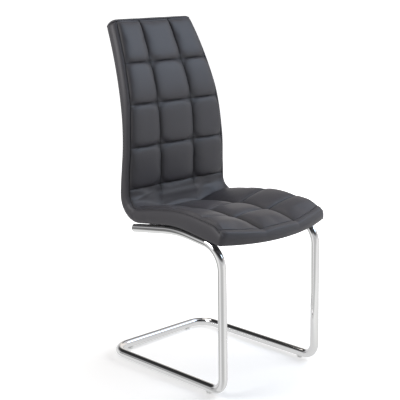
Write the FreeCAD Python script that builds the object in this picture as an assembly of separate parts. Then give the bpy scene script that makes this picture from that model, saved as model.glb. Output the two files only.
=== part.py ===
# High-back cantilever dining chair: a bent round steel tube frame that carries one padded,
# quilted seat-and-back shell. Lengths are in millimetres and angles in degrees.
# X runs across the chair (the sitter's left is +X), -Y is the front and +Z is up.
import FreeCAD
import Part

import math
import os

V = FreeCAD.Vector

# Base frame, a round tube bent from the seat arms down the legs and back along the floor
TUBE_D = 25.0
TUBE_WALL = 2.0
BASE_WIDTH = 381.0
BASE_LENGTH = 481.0
ARM_REAR = 355.0
ARM_PEAK = 171.0
ARM_PEAK_HEIGHT = 443.0
ARM_SLOPE = 7.5
ARM_BEND_R = 400.0
TOP_BEND_R = 70.0
BOTTOM_BEND_R = 40.0
REAR_BEND_R = 58.0
SLEEVE_LENGTH = 90.0
SLEEVE_WALL = 2.0
BRACE_D = 16.0
BRACE_PLACES = (110.0, 318.0)
PLUG_LENGTH = 14.0
PLUG_RIM = 1.6

# Floor glides, clipped under the runners and the rear bar
GLIDE_HEIGHT = 4.0
GLIDE_D = 17.0
GLIDE_CUP = 3.0
GLIDE_PIN_D = 5.0
GLIDE_PIN_LENGTH = 9.0
FRONT_GLIDE_SETBACK = 55.0
REAR_GLIDE_INSET = 70.0

# Fixing of the shell to the arms
BOLT_D = 6.0
BOLT_HEAD_D = 11.0
BOLT_HEAD_H = 3.5
BOLT_PLACES = (92.0, 240.0)
NUT_WIDTH = 10.0
NUT_HEIGHT = 5.0
NUT_CLEARANCE = 1.5
BOLT_END_LENGTH = 1.0
WASHER_D = 14.0
WASHER_T = 1.6
TAB_T = 3.0
TAB_WIDTH = 32.0
TAB_LENGTH = 34.0
BOLT_INSET = 23.0
SPACER_T = 2.0
SPACER_D = 20.0

# Side line of the shell, from the front lower corner back and up to the top
SHELL_FRONT = -15.0
CORNER_R = 73.0
CORNER_START = 331.0
BACK_LEAN_FORWARD = 4.5
LUMBAR_LENGTH = 90.0
LUMBAR_R = 456.0
LUMBAR_TURN = 17.8
UPPER_R = 900.0
UPPER_TURN = 16.4

# How far the shell's side seams stand out past the middles of the frame's tubes
SEAT_FRONT_OVERHANG = 21.5
SEAT_REAR_OVERHANG = 5.5
LUMBAR_OVERHANG = 1.5
TOP_INSET = 46.0
WIDTH_EASE = 1.5

# The seat's upper seams lie further in than its lower ones, by these amounts
SEAM_IN_FRONT = 8.5
SEAM_IN_LEAST = 0.8
TOP_CORNER_R = 9.0

# Thickness of the shell at its side seams, over the sole line
EDGE_FRONT = 34.0
EDGE_SEAT = 46.5
EDGE_SEAT_REAR = 42.0
EDGE_CORNER = 41.0
EDGE_LUMBAR = 31.0
EDGE_SHOULDER = 42.0
EDGE_TOP = 44.0

# Where those sizes are reached, along the sole line
FRONT_RISE_LENGTH = 48.0
SEAT_LEVEL_LENGTH = 105.0
REAR_TAPER_LENGTH = 110.0
WAIST_START_LENGTH = 90.0
WAIST_END_LENGTH = 150.0
SHOULDER_RISE_LENGTH = 60.0

# Thickness along the two long channels of the seat, which lies lower than its sides
DISH_NOSE = 26.0
DISH_FRONT = 27.0
DISH_REAR = 18.0
DISH_FRONT_LENGTH = 60.0
DISH_REAR_LENGTH = 200.0

# Quilting: the back's cross seams are given by their heights over the arms' peak
CHANNEL_SHARE = 0.3465
BACK_ROWS = (82.0, 203.0, 325.0, 440.0)
SEAT_ROWS = (82.0, 190.0)
CREASE_TURN = 27.5
CREST_DROP = 2.5
TOP_SEAM_DROP = 9.0
ROW_DEPTH = 4.0
ROW_DIP = 3.5
COLUMN_DIP = 2.5
EDGE_DIP = 1.4
BACK_CROWN = 9.0
SEAT_CROWN = 8.0
LOW_CROWN = 14.0
LEAST_CROWN = 0.4
PILLOW_SHAPE = 2.6
TOE_LENGTH = 70.0
NOSE_BULGE = 37.0
NOSE_DEPTH = 24.0
NOSE_SAG = 7.0
NOSE_ROUND_LOW = 4.0
NOSE_ROUND_TOP = 6.0

# Places across the seat, counted in columns: 0 is the middle, 1 the channel, 2 the inside of
# the rail and 3 the side seam
CREST_AT = 2.35
DIP_END = 1.5
SEAT_STEPS = (0.0, 0.33, 0.67, 0.88, 1.0, 1.08, 1.25, 1.5, 1.75, 1.98)
CREST_STEPS = (2.02, 2.35, 2.7, 3.0)
FRONT_STEPS = (0.0, 0.3, 0.6, 0.8, 1.0, 1.1, 1.25, 1.5, 1.75, 2.0, 2.35, 2.7, 3.0)

# Places up one pillow of the back, from one cross seam to the next
ROW_STEPS = (0.0, 0.06, 0.16, 0.32, 0.5, 0.68, 0.84, 0.94)

# Covers and padding
BORDER_T = 3.0
BORDER_BULGE = 3.0
BULGE_AT = 0.5
TOP_BULGE = 9.0
TOP_END_BULGE = 4.0
BACK_COVER_T = 2.5
BACK_COVER_CROWN = 3.0
BOTTOM_COVER_T = 1.5
COVER_SEAM_HEIGHT = 12.0
PANEL_EDGE_T = 9.0
PANEL_SEAT_T = 6.0
GAP = 0.3
MIN_STEP = 1.0

# Inner frame of the shell
RAIL_D = 14.0
RAIL_WALL = 1.5
RAIL_INSET = 17.0
RAIL_HEIGHT = 12.5
RAIL_FRONT_SETBACK = 28.0
RAIL_TOP_SETBACK = 24.0
STRIP_T = 3.5
STRIP_WIDTH = 25.0
STRIP_BITE = 1.0
WEB_T = 1.5
WEB_WIDTH = 40.0
FOAM_START_LENGTH = 10.0
BACK_FOAM_DEPTH = 2.7

# Webbing: heights over the arms' peak on the back, and distances from the front legs
BACK_WEBS = (157.0, 219.0, 281.0, 345.0, 409.0)
SEAT_WEBS = (45.0, 142.0, 190.0, 285.0)

# Staples of the dust cover
STAPLE_WIDTH = 9.0
STAPLE_D = 1.0
STAPLE_COUNT = 12

# Values worked out from the sizes above
TUBE_R = TUBE_D / 2
TUBE_IN = TUBE_R - TUBE_WALL
RUNNER_Z = GLIDE_HEIGHT + TUBE_R
SIDE_X = BASE_WIDTH / 2
SOLE_OFFSET = TUBE_R + SPACER_T
HALF_SEAT_FRONT = SIDE_X + SEAT_FRONT_OVERHANG
HALF_SEAT_REAR = SIDE_X + SEAT_REAR_OVERHANG
HALF_LUMBAR = SIDE_X + LUMBAR_OVERHANG
HALF_TOP = SIDE_X - TOP_INSET
CHANNEL_X = SIDE_X * CHANNEL_SHARE
SLOPE = math.radians(ARM_SLOPE)
RAIL_R = RAIL_D / 2
STRIP_LOW = BOTTOM_COVER_T + GAP
STRIP_TOP = STRIP_LOW + STRIP_T
WEB_LOW = STRIP_TOP + GAP
WEB_TOP = WEB_LOW + WEB_T
RAIL_TOP = RAIL_HEIGHT + RAIL_R
BACK_FOAM_LOW = RAIL_HEIGHT - BACK_FOAM_DEPTH
PANEL_FLOOR = DISH_REAR - PANEL_SEAT_T


def arm_height(y):
    """Height of the arm tube's axis at y, on its two straight runs."""
    return ARM_PEAK_HEIGHT - abs(y - ARM_PEAK) * math.tan(SLOPE)


# The sole line: the lower and rear edge of the shell's side, as tangent lines and arcs

def sole_parts():
    """Kind, length or radius, and turn of each part of the sole line."""
    run_front = (ARM_PEAK - arm_bend_tangent() - SHELL_FRONT) / math.cos(SLOPE)
    run_rear = (CORNER_START - ARM_PEAK - arm_bend_tangent()) / math.cos(SLOPE)
    return [
        ("line", run_front, 0.0),
        ("arc", ARM_BEND_R + SOLE_OFFSET, -2 * ARM_SLOPE),
        ("line", run_rear, 0.0),
        ("arc", CORNER_R, 90.0 + BACK_LEAN_FORWARD + ARM_SLOPE),
        ("line", LUMBAR_LENGTH, 0.0),
        ("arc", LUMBAR_R, -LUMBAR_TURN),
        ("arc", UPPER_R, -UPPER_TURN),
    ]


def arm_bend_tangent():
    """Distance along Y from the arm's peak to the end of its bend, on the sole line."""
    return (ARM_BEND_R + SOLE_OFFSET) * math.sin(SLOPE)


def sole_start():
    """Front lower corner of the side, on the arm's front run moved out by the sole offset."""
    peak_top = ARM_PEAK_HEIGHT - ARM_BEND_R * (1 / math.cos(SLOPE) - 1) + SOLE_OFFSET
    drop_bend = (ARM_BEND_R + SOLE_OFFSET) * (1 - math.cos(SLOPE))
    run = ARM_PEAK - arm_bend_tangent() - SHELL_FRONT
    return SHELL_FRONT, peak_top - drop_bend - run * math.tan(SLOPE)


def build_sole():
    """Each part of the sole line with its start and its heading there, and the full length."""
    y, z = sole_start()
    heading = SLOPE
    table = []
    s = 0.0
    for kind, size, turn in sole_parts():
        length = size if kind == "line" else abs(size * math.radians(turn))
        table.append((s, length, kind, size, turn, y, z, heading))
        if kind == "line":
            y += size * math.cos(heading)
            z += size * math.sin(heading)
        else:
            side = math.copysign(1.0, turn)
            cy = y - side * size * math.sin(heading)
            cz = z + side * size * math.cos(heading)
            heading += math.radians(turn)
            y = cy + side * size * math.sin(heading)
            z = cz - side * size * math.cos(heading)
        s += length
    return table, s


SOLE, SOLE_LENGTH = build_sole()
S_CORNER = SOLE[3][0]
S_CREASE = S_CORNER + CORNER_R * math.radians(CREASE_TURN)
S_LUMBAR = SOLE[4][0]
S_UPPER = SOLE[6][0]
S_COVER_SEAM = S_CORNER + COVER_SEAM_HEIGHT
S_RAIL_FRONT = RAIL_FRONT_SETBACK
S_RAIL_TOP = SOLE_LENGTH - RAIL_TOP_SETBACK


def sole_at(s):
    """Point of the sole line and its heading, s millimetres from the front corner."""
    piece = SOLE[0]
    for candidate in SOLE:
        if s >= candidate[0]:
            piece = candidate
    start, length, kind, size, turn, y, z, heading = piece
    run = s - start
    if kind == "line":
        return y + run * math.cos(heading), z + run * math.sin(heading), heading
    side = math.copysign(1.0, turn)
    now = heading + side * run / size
    cy = y - side * size * math.sin(heading)
    cz = z + side * size * math.cos(heading)
    return cy + side * size * math.sin(now), cz - side * size * math.cos(now), now


def shell_point(s, x, n):
    """Point x across from the middle and n over the sole line, at station s."""
    y, z, heading = sole_at(s)
    return V(x, y - n * math.sin(heading), z + n * math.cos(heading))


def station_of_y(y):
    return (y - SHELL_FRONT) / math.cos(SLOPE)


def station_over_arms(rise, depth):
    """Station on the back whose point at this depth lies this far over the arms' peak."""
    z = ARM_PEAK_HEIGHT + rise
    low = S_CORNER
    high = SOLE_LENGTH
    while high - low > 0.01:
        middle = (low + high) / 2
        if shell_point(middle, 0, depth).z < z:
            low = middle
        else:
            high = middle
    return low


def clamp(u):
    return min(1.0, max(0.0, u))


def ease(u):
    """Goes from 0 to 1 with level ends."""
    u = clamp(u)
    return u * u * (3 - 2 * u)


def blend(s, table):
    """Smooth value at s from a short list of (station, value)."""
    if s <= table[0][0]:
        return table[0][1]
    for (s0, v0), (s1, v1) in zip(table[:-1], table[1:]):
        if s <= s1:
            return v0 + (v1 - v0) * ease((s - s0) / (s1 - s0))
    return table[-1][1]


def seat_half(y):
    """Half width of the seat at y, which narrows evenly towards the back."""
    u = (y - SHELL_FRONT) / (sole_at(S_CORNER)[0] - SHELL_FRONT)
    return HALF_SEAT_FRONT + (HALF_SEAT_REAR - HALF_SEAT_FRONT) * u


def half_width(s):
    """Half width of the shell at its side seams, at station s."""
    if s <= S_CORNER:
        return seat_half(max(SHELL_FRONT, sole_at(s)[0]))
    if s <= S_LUMBAR:
        return blend(s, [(S_CORNER, HALF_SEAT_REAR), (S_LUMBAR, HALF_LUMBAR)])
    u = (s - S_LUMBAR) / (SOLE_LENGTH - S_LUMBAR)
    width = HALF_LUMBAR + (HALF_TOP - HALF_LUMBAR) * u ** WIDTH_EASE
    left = SOLE_LENGTH - s
    if left < TOP_CORNER_R:
        width -= TOP_CORNER_R - math.sqrt(TOP_CORNER_R ** 2 - (TOP_CORNER_R - left) ** 2)
    return width


EDGE_TABLE = [
    (0.0, EDGE_FRONT),
    (FRONT_RISE_LENGTH, EDGE_SEAT),
    (SEAT_LEVEL_LENGTH, EDGE_SEAT),
    (S_CORNER - REAR_TAPER_LENGTH, EDGE_SEAT_REAR),
    (S_CREASE, EDGE_CORNER),
    (S_LUMBAR + WAIST_START_LENGTH, EDGE_LUMBAR),
    (S_LUMBAR + WAIST_END_LENGTH, EDGE_LUMBAR),
    (S_UPPER + SHOULDER_RISE_LENGTH, EDGE_SHOULDER),
    (SOLE_LENGTH, EDGE_TOP),
]
DISH_TABLE = [
    (-NOSE_BULGE, DISH_NOSE),
    (DISH_FRONT_LENGTH, DISH_FRONT),
    (DISH_REAR_LENGTH, DISH_REAR),
]


def seam_half(y):
    """Half width of the seat at its upper seams, which run straight from front to crease."""
    rear_y = shell_point(S_CREASE, 0, EDGE_CORNER).y
    front = HALF_SEAT_FRONT - SEAM_IN_FRONT
    rear = half_width(S_CREASE) - SEAM_IN_LEAST
    return front + (rear - front) * (y - SHELL_FRONT) / (rear_y - SHELL_FRONT)


def seam_inset(s):
    """How far a side border's upper seam lies inside its lower one, at station s."""
    if s >= S_CREASE:
        return SEAM_IN_LEAST
    return half_width(s) - seam_half(shell_point(s, 0, edge_height(s)).y)


def inside_borders(s):
    """Half width left between the two side borders."""
    return half_width(s) - SEAM_IN_LEAST - BORDER_T - 2 * GAP


def edge_height(s):
    return blend(s, EDGE_TABLE)


def dish_height(s):
    return blend(s, DISH_TABLE)


# Helpers for wires and solids

def line(a, b):
    return Part.LineSegment(a, b).toShape()


def arc(a, middle, b):
    return Part.Arc(a, middle, b).toShape()


def polygon(points):
    return Part.Wire([line(a, b) for a, b in zip(points, points[1:] + points[:1])])


def ruled(wires):
    return Part.makeLoft(wires, True, True)


def spread(start, end, count):
    return [start + (end - start) * i / (count - 1) for i in range(count)]


def bent_path(points, radii):
    """Straight runs joined by tangent arcs of the given radii."""
    edges = []
    at = points[0]
    for i in range(1, len(points) - 1):
        before = (points[i - 1] - points[i]).normalize()
        after = (points[i + 1] - points[i]).normalize()
        turn = math.pi - before.getAngle(after)
        reach = radii[i - 1] * math.tan(turn / 2)
        first = points[i] + before * reach
        last = points[i] + after * reach
        inward = (before + after).normalize()
        centre = points[i] + inward * (radii[i - 1] / math.cos(turn / 2))
        middle = centre - inward * radii[i - 1]
        edges.append(line(at, first))
        edges.append(arc(first, middle, last))
        at = last
    edges.append(line(at, points[-1]))
    return Part.Wire(edges)


def pipe(path, start, direction, radius):
    circle = Part.Wire([Part.Circle(start, direction, radius).toShape()])
    return path.makePipeShell([circle], True, False)


def cylinder(base, direction, radius, length):
    return Part.makeCylinder(radius, length, base, direction)


# Base frame

def side_path(side):
    x = side * SIDE_X
    points = [
        V(x, ARM_REAR, arm_height(ARM_REAR)),
        V(x, ARM_PEAK, ARM_PEAK_HEIGHT),
        V(x, 0, arm_height(0)),
        V(x, 0, RUNNER_Z),
        V(x, BASE_LENGTH, RUNNER_Z),
        V(0, BASE_LENGTH, RUNNER_Z),
    ]
    radii = [ARM_BEND_R, TOP_BEND_R, BOTTOM_BEND_R, REAR_BEND_R]
    return points, bent_path(points, radii)


def tube_solid(side, radius):
    points, path = side_path(side)
    return pipe(path, points[0], (points[1] - points[0]).normalize(), radius)


def arm_axis(y):
    """Unit direction square to the arm at y, pointing up."""
    slope = SLOPE if y < ARM_PEAK else -SLOPE
    return V(0, -math.sin(slope), math.cos(slope))


def arm_point(side, y, over):
    return V(side * SIDE_X, y, arm_height(y)) + arm_axis(y) * over


def glide_centres():
    places = []
    for side in (-1, 1):
        places.append(V(side * SIDE_X, FRONT_GLIDE_SETBACK, 0))
        places.append(V(side * (SIDE_X - REAR_GLIDE_INSET), BASE_LENGTH, 0))
    return places


def bolt_places():
    return [(side, y) for side in (-1, 1) for y in BOLT_PLACES]


def frame_tube(side):
    tube = tube_solid(side, TUBE_R).cut(tube_solid(side, TUBE_IN))
    for centre in glide_centres():
        if centre.x * side > 0:
            hole = cylinder(centre + V(0, 0, GLIDE_CUP), V(0, 0, 1), GLIDE_PIN_D / 2 + GAP, TUBE_R)
            tube = tube.cut(hole)
    return tube


def joining_sleeve():
    base = V(-SLEEVE_LENGTH / 2, BASE_LENGTH, RUNNER_Z)
    outer = cylinder(base, V(1, 0, 0), TUBE_IN - GAP, SLEEVE_LENGTH)
    return outer.cut(cylinder(base, V(1, 0, 0), TUBE_IN - GAP - SLEEVE_WALL, SLEEVE_LENGTH))


def seat_brace(y):
    base = V(-SIDE_X, y, arm_height(y))
    brace = cylinder(base, V(1, 0, 0), BRACE_D / 2, BASE_WIDTH)
    brace = brace.cut(cylinder(base, V(1, 0, 0), BRACE_D / 2 - TUBE_WALL, BASE_WIDTH))
    for side in (-1, 1):
        brace = brace.cut(tube_solid(side, TUBE_R + GAP / 3))
    return brace


def end_plugs():
    plugs = []
    for side in (-1, 1):
        points = side_path(side)[0]
        inward = (points[1] - points[0]).normalize()
        rim = cylinder(points[0] - inward * PLUG_RIM, inward, TUBE_R, PLUG_RIM)
        stem = cylinder(points[0], inward, TUBE_IN - GAP, PLUG_LENGTH)
        plugs.append(rim.fuse(stem).removeSplitter())
    return Part.makeCompound(plugs)


def floor_glides():
    tubes = [tube_solid(side, TUBE_R + GAP / 2) for side in (-1, 1)]
    glides = []
    for centre in glide_centres():
        cup = cylinder(centre, V(0, 0, 1), GLIDE_D / 2, GLIDE_HEIGHT + GLIDE_CUP)
        tube = tubes[0] if centre.x < 0 else tubes[1]
        glides.append(cup.cut(tube))
    return Part.makeCompound(glides)


def glide_pins():
    pins = []
    for centre in glide_centres():
        base = centre + V(0, 0, GLIDE_HEIGHT)
        pins.append(cylinder(base, V(0, 0, 1), GLIDE_PIN_D / 2, GLIDE_PIN_LENGTH))
    return pins


def glide_sets():
    """Each glide is one moulding: its cup under the tube and its pin up through the wall."""
    glides = []
    for cup, pin in zip(floor_glides().Solids, glide_pins()):
        glides.append(cup.fuse(pin).removeSplitter())
    return glides


# Fixings between the arms and the shell

def bolt_point(side, y, over):
    """Point on a bolt's axis, over millimetres above the arm's own axis."""
    return arm_point(side, y, over) - V(side * BOLT_INSET, 0, 0)


def along_arm(y):
    axis = arm_axis(y)
    return V(0, axis.z, -axis.y)


def flat_block(side, y, x_from, x_to, length, low, height):
    """Block square to the arm at y, from x_from to x_to across and centred along the arm."""
    corners = []
    for x, half in ((x_from, -1), (x_to, -1), (x_to, 1), (x_from, 1)):
        middle = arm_point(side, y, low)
        corners.append(V(side * x, middle.y, middle.z) + along_arm(y) * (half * length / 2))
    return Part.Face(polygon(corners)).extrude(arm_axis(y) * height)


def mounting_tabs():
    """Flat tabs welded to the inner side of the arms, level with the top of the tube."""
    tabs = []
    for side, y in bolt_places():
        tab = flat_block(side, y, SIDE_X, SIDE_X - TAB_WIDTH, TAB_LENGTH, TUBE_R - TAB_T, TAB_T)
        tab = tab.cut(tube_solid(side, TUBE_R + GAP / 3))
        hole = cylinder(bolt_point(side, y, 0), arm_axis(y), BOLT_D / 2 + GAP, TUBE_D)
        tabs += tab.cut(hole).Solids
    return Part.makeCompound(tabs)


def seat_bolts():
    bolts = []
    for side, y in bolt_places():
        axis = arm_axis(y)
        under = TUBE_R - TAB_T - WASHER_T
        head = cylinder(bolt_point(side, y, under - BOLT_HEAD_H), axis, BOLT_HEAD_D / 2, BOLT_HEAD_H)
        reach = SOLE_OFFSET + STRIP_TOP + NUT_HEIGHT + BOLT_END_LENGTH - under
        shank = cylinder(bolt_point(side, y, under), axis, BOLT_D / 2, reach)
        bolts.append(head.fuse(shank).removeSplitter())
    return Part.makeCompound(bolts)


def ring(base, axis, outer_r, inner_r, height):
    return cylinder(base, axis, outer_r, height).cut(cylinder(base, axis, inner_r, height))


def bolt_rings(over, outer_r, height):
    """One ring round each bolt, its lower face over millimetres above the arm's axis."""
    hole_r = BOLT_D / 2 + GAP / 2
    rings = []
    for side, y in bolt_places():
        rings.append(ring(bolt_point(side, y, over), arm_axis(y), outer_r, hole_r, height))
    return rings


def bolt_washers():
    return Part.makeCompound(bolt_rings(TUBE_R - TAB_T - WASHER_T, WASHER_D / 2, WASHER_T))


def seat_spacers():
    """Rubber rings that keep the shell just off the arms, one on each tab."""
    return Part.makeCompound(bolt_rings(TUBE_R, SPACER_D / 2, SPACER_T - GAP))


def weld_nuts():
    nuts = []
    for side, y in bolt_places():
        base = bolt_point(side, y, SOLE_OFFSET + STRIP_TOP)
        radius = NUT_WIDTH / 2 / math.cos(math.radians(30))
        corners = []
        for i in range(6):
            angle = math.radians(60 * i)
            corner = base + V(radius * math.cos(angle), 0, 0)
            corners.append(corner + along_arm(y) * (radius * math.sin(angle)))
        nut = Part.Face(polygon(corners)).extrude(arm_axis(y) * NUT_HEIGHT)
        nuts.append(nut.cut(cylinder(base, arm_axis(y), BOLT_D / 2 + GAP / 3, NUT_HEIGHT)))
    return Part.makeCompound(nuts)


def bolt_hole_tools(radius):
    """Cutters along the bolts, from under the shell to above its strips."""
    tools = []
    for side, y in bolt_places():
        tools.append(cylinder(bolt_point(side, y, TUBE_R), arm_axis(y), radius, TUBE_D))
    return tools


# Inner frame of the shell

def rail_x(s):
    return half_width(s) - RAIL_INSET


def rail_section(s, side, radius):
    centre = shell_point(s, side * rail_x(s), RAIL_HEIGHT)
    ahead = shell_point(s + 1, side * rail_x(s + 1), RAIL_HEIGHT)
    behind = shell_point(s - 1, side * rail_x(s - 1), RAIL_HEIGHT)
    return Part.Wire([Part.Circle(centre, (ahead - behind).normalize(), radius).toShape()])


def seat_stations(start, end):
    """Stations along the seat, close enough together to follow its arch and its rear corner."""
    places = spread(SOLE[1][0], SOLE[2][0], 9) + spread(S_CORNER, S_CREASE, 5)
    return [start] + between(places, start, end) + [end]


def between(places, start, end):
    """The places that lie inside a run, clear of its two ends."""
    return [s for s in places if start + MIN_STEP < s < end - MIN_STEP]


def back_stations(start, end):
    """Stations up the back, close together in the tight corner at its foot."""
    places = spread(S_CREASE, S_LUMBAR, 9) + spread(S_LUMBAR, SOLE_LENGTH, 19)[1:]
    return [start] + between(places, start, end) + [end]


def rail_stations():
    return seat_stations(S_RAIL_FRONT, S_CREASE) + back_stations(S_CREASE, S_RAIL_TOP)[1:]


def inner_rail(side, radius):
    return ruled([rail_section(s, side, radius) for s in rail_stations()])


def side_rail(side):
    return inner_rail(side, RAIL_R).cut(inner_rail(side, RAIL_R - RAIL_WALL))


def cross_rail(s, rails):
    """Round rail between the side rails, shaped to them at both ends."""
    centre = shell_point(s, 0, RAIL_HEIGHT)
    reach = rail_x(s)
    rail = cylinder(centre - V(reach, 0, 0), V(1, 0, 0), RAIL_R, 2 * reach)
    rail = rail.cut(cylinder(centre - V(reach, 0, 0), V(1, 0, 0), RAIL_R - RAIL_WALL, 2 * reach))
    for side_tool in rails:
        rail = rail.cut(side_tool)
    return rail


def station_block(s, length, half, low, high):
    """Flat bar across the shell, length wide along the sole line and centred at s."""
    corners = [
        shell_point(s, -half, low),
        shell_point(s, half, low),
        shell_point(s, half, high),
        shell_point(s, -half, high),
    ]
    heading = sole_at(s)[2]
    along = V(0, math.cos(heading), math.sin(heading)) * length
    face = Part.Face(polygon([corner - along * 0.5 for corner in corners]))
    return face.extrude(along)


def mounting_strip(y):
    """Flat bar across the shell under its side rails, which the bolts pull down on the arms."""
    s = bolt_station(y)
    strip = station_block(s, STRIP_WIDTH, rail_x(s) + RAIL_R - STRIP_BITE, STRIP_LOW, STRIP_TOP)
    for tool in bolt_hole_tools(BOLT_D / 2 + GAP):
        strip = strip.cut(tool)
    return strip


def bolt_station(y):
    """Station whose normal passes through the arm's axis at y."""
    foot = y - SOLE_OFFSET * math.sin(SLOPE) * math.copysign(1.0, ARM_PEAK - y)
    if y < ARM_PEAK:
        return (foot - SHELL_FRONT) / math.cos(SLOPE)
    rear_run = SOLE[2]
    return rear_run[0] + (foot - rear_run[5]) / math.cos(SLOPE)


def strap_set(stations, low):
    """Webbing straps from rail to rail, their undersides low millimetres over the sole line."""
    straps = []
    for s in stations:
        run = spread(s - WEB_WIDTH / 2, s + WEB_WIDTH / 2, 5)
        straps.append(pad(run, strap_half, lambda at: low, lambda at: low + WEB_T))
    return Part.makeCompound(straps)


def strap_half(s):
    return rail_x(s) - RAIL_R


# Padding

def pad(stations, half_of, low_of, high_of):
    """Layer that follows the sole line, its half width and its two faces set by station."""
    sections = []
    for s in stations:
        half = half_of(s)
        low = low_of(s)
        high = high_of(s)
        corners = [
            shell_point(s, -half, low),
            shell_point(s, half, low),
            shell_point(s, half, high),
            shell_point(s, -half, high),
        ]
        sections.append(polygon(corners))
    return ruled(sections)


def inside_rails(s):
    return rail_x(s) - RAIL_R - GAP


def above_crease(s, at_seat, at_back):
    """Goes over from the seat's value at the crease to the back's value a little higher up."""
    return at_seat + (at_back - at_seat) * ease((s - S_CREASE) / TOE_LENGTH)


def panel_low(s):
    """Underside of the quilted back panel over the sole line."""
    return above_crease(s, PANEL_FLOOR, edge_height(s) - PANEL_EDGE_T)


def back_foam(cross_tools):
    start = S_LUMBAR + FOAM_START_LENGTH
    stations = back_stations(start, S_RAIL_TOP + RAIL_D)
    foam = pad(stations, inside_rails, lambda s: BACK_FOAM_LOW, lambda s: panel_low(s) - 2 * GAP)
    for tool in cross_tools:
        foam = foam.cut(tool)
    return foam


def seat_foam():
    stations = seat_stations(S_RAIL_FRONT, S_CREASE - GAP)
    foam = pad(stations, inside_rails, lambda s: WEB_TOP + GAP, lambda s: PANEL_FLOOR - GAP)
    for tool in bolt_hole_tools(NUT_WIDTH / 2 + NUT_CLEARANCE):
        foam = foam.cut(tool)
    return foam


def edge_foam(side):
    """Thin strip of foam between the side rail and the side border."""
    sections = []
    for s in rail_stations():
        inner = side * (rail_x(s) + RAIL_R + GAP)
        outer = side * inside_borders(s)
        high = RAIL_TOP - GAP
        low = STRIP_TOP + GAP
        corners = [
            shell_point(s, inner, low),
            shell_point(s, outer, low),
            shell_point(s, outer, high),
            shell_point(s, inner, high),
        ]
        sections.append(polygon(corners))
    return ruled(sections)


# Quilted panels

def row_stations():
    """Stations of the back's cross seams, from the crease up to the top seam."""
    rows = [S_CREASE]
    for rise in BACK_ROWS:
        rows.append(station_over_arms(rise, EDGE_LUMBAR + ROW_DEPTH))
    rows.append(SOLE_LENGTH - TOP_SEAM_DROP)
    return rows


def top_stations():
    """Stations over the last few millimetres, where the top corners are rounded."""
    return spread(SOLE_LENGTH - TOP_SEAM_DROP, SOLE_LENGTH - BORDER_T - GAP, 4)


def pillow(u):
    """Fullness across one pillow, 0 at both seams and 1 in its middle."""
    return 1 - abs(2 * clamp(u) - 1) ** PILLOW_SHAPE


def back_section(s, bulge, sewn):
    """Closed profile across the back panel: bulge is the fullness of its three columns here
    and sewn is 1 on a cross seam and 0 off it."""
    half = inside_borders(s)
    edge = edge_height(s) - EDGE_DIP * sewn
    low = panel_low(s)
    over_rail = max(low, RAIL_TOP + 2 * GAP)
    step = rail_x(s) - RAIL_R - MIN_STEP
    sink = above_crease(s, DISH_REAR, edge_height(s) - COLUMN_DIP) - ROW_DIP * sewn
    left = shell_point(s, -half, edge)
    right = shell_point(s, half, edge)
    a = shell_point(s, -CHANNEL_X, sink)
    b = shell_point(s, CHANNEL_X, sink)
    outer = (half + CHANNEL_X) / 2
    outer_n = (edge + sink) / 2 + bulge
    edges = [
        arc(left, shell_point(s, -outer, outer_n), a),
        arc(a, shell_point(s, 0, sink + bulge), b),
        arc(b, shell_point(s, outer, outer_n), right),
    ]
    floor = [(half, over_rail), (step, over_rail), (step - MIN_STEP, low)]
    floor += [(-x, n) for x, n in reversed(floor)]
    at = right
    for x, n in floor:
        edges.append(line(at, shell_point(s, x, n)))
        at = shell_point(s, x, n)
    edges.append(line(at, left))
    return Part.Wire(edges)


def back_panel():
    rows = row_stations()
    sections = []
    for i, (low, high) in enumerate(zip(rows[:-1], rows[1:])):
        crown = LOW_CROWN if i == 0 else BACK_CROWN
        for u in ROW_STEPS:
            sewn = 1 if u == 0 and i > 0 else 0
            sections.append(back_section(low + (high - low) * u, LEAST_CROWN + crown * pillow(u), sewn))
    for s in top_stations():
        sections.append(back_section(s, LEAST_CROWN, 0))
    return ruled(sections)


def nose_station(x):
    """Station of the seat's front edge, which bows forward in the middle."""
    return -NOSE_BULGE * (1 - (x / HALF_SEAT_FRONT) ** 2)


def panel_edge(y):
    """Half width of the quilted seat panel at y, inside the upper seams of the side borders."""
    return seam_half(y) - BORDER_T - 2 * GAP


def panel_shoulder(y):
    """Place across where the seat panel steps up over the side rail."""
    return seat_half(y) - RAIL_INSET - RAIL_R - MIN_STEP


def across(u, y):
    """Place across the seat: u from 0 to 1 is the middle column, from 1 to 2 the outer
    column up to the side rail, and from 2 to 3 the crest over the rail."""
    shoulder = panel_shoulder(y)
    if u <= 1:
        return u * CHANNEL_X
    if u <= 2:
        return CHANNEL_X + (u - 1) * (shoulder - CHANNEL_X)
    return shoulder + (u - 2) * (panel_edge(y) - shoulder)


def seat_base(u, s):
    """Height of the seat's top over the sole line where it is sewn down."""
    rise = math.sin(clamp((u - 1) / (CREST_AT - 1)) * math.pi / 2)
    drop = CREST_DROP * clamp((u - CREST_AT) / (3 - CREST_AT)) ** 2
    return dish_height(s) + (edge_height(s) + CREST_DROP - dish_height(s)) * rise - drop


def column_fullness(u):
    """Fullness across the seat, 0 along the channels and from the crests outwards."""
    if u <= 1:
        return pillow((u + 1) / 2)
    return pillow((u - 1) / (CREST_AT - 1))


def seat_point(s, u, side, n):
    """Point of the seat, its place across following the seat's own taper."""
    flat = shell_point(s, 0, n)
    return V(side * across(u, flat.y), flat.y, flat.z)


def seat_rows():
    return [station_of_y(y) for y in SEAT_ROWS]


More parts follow.
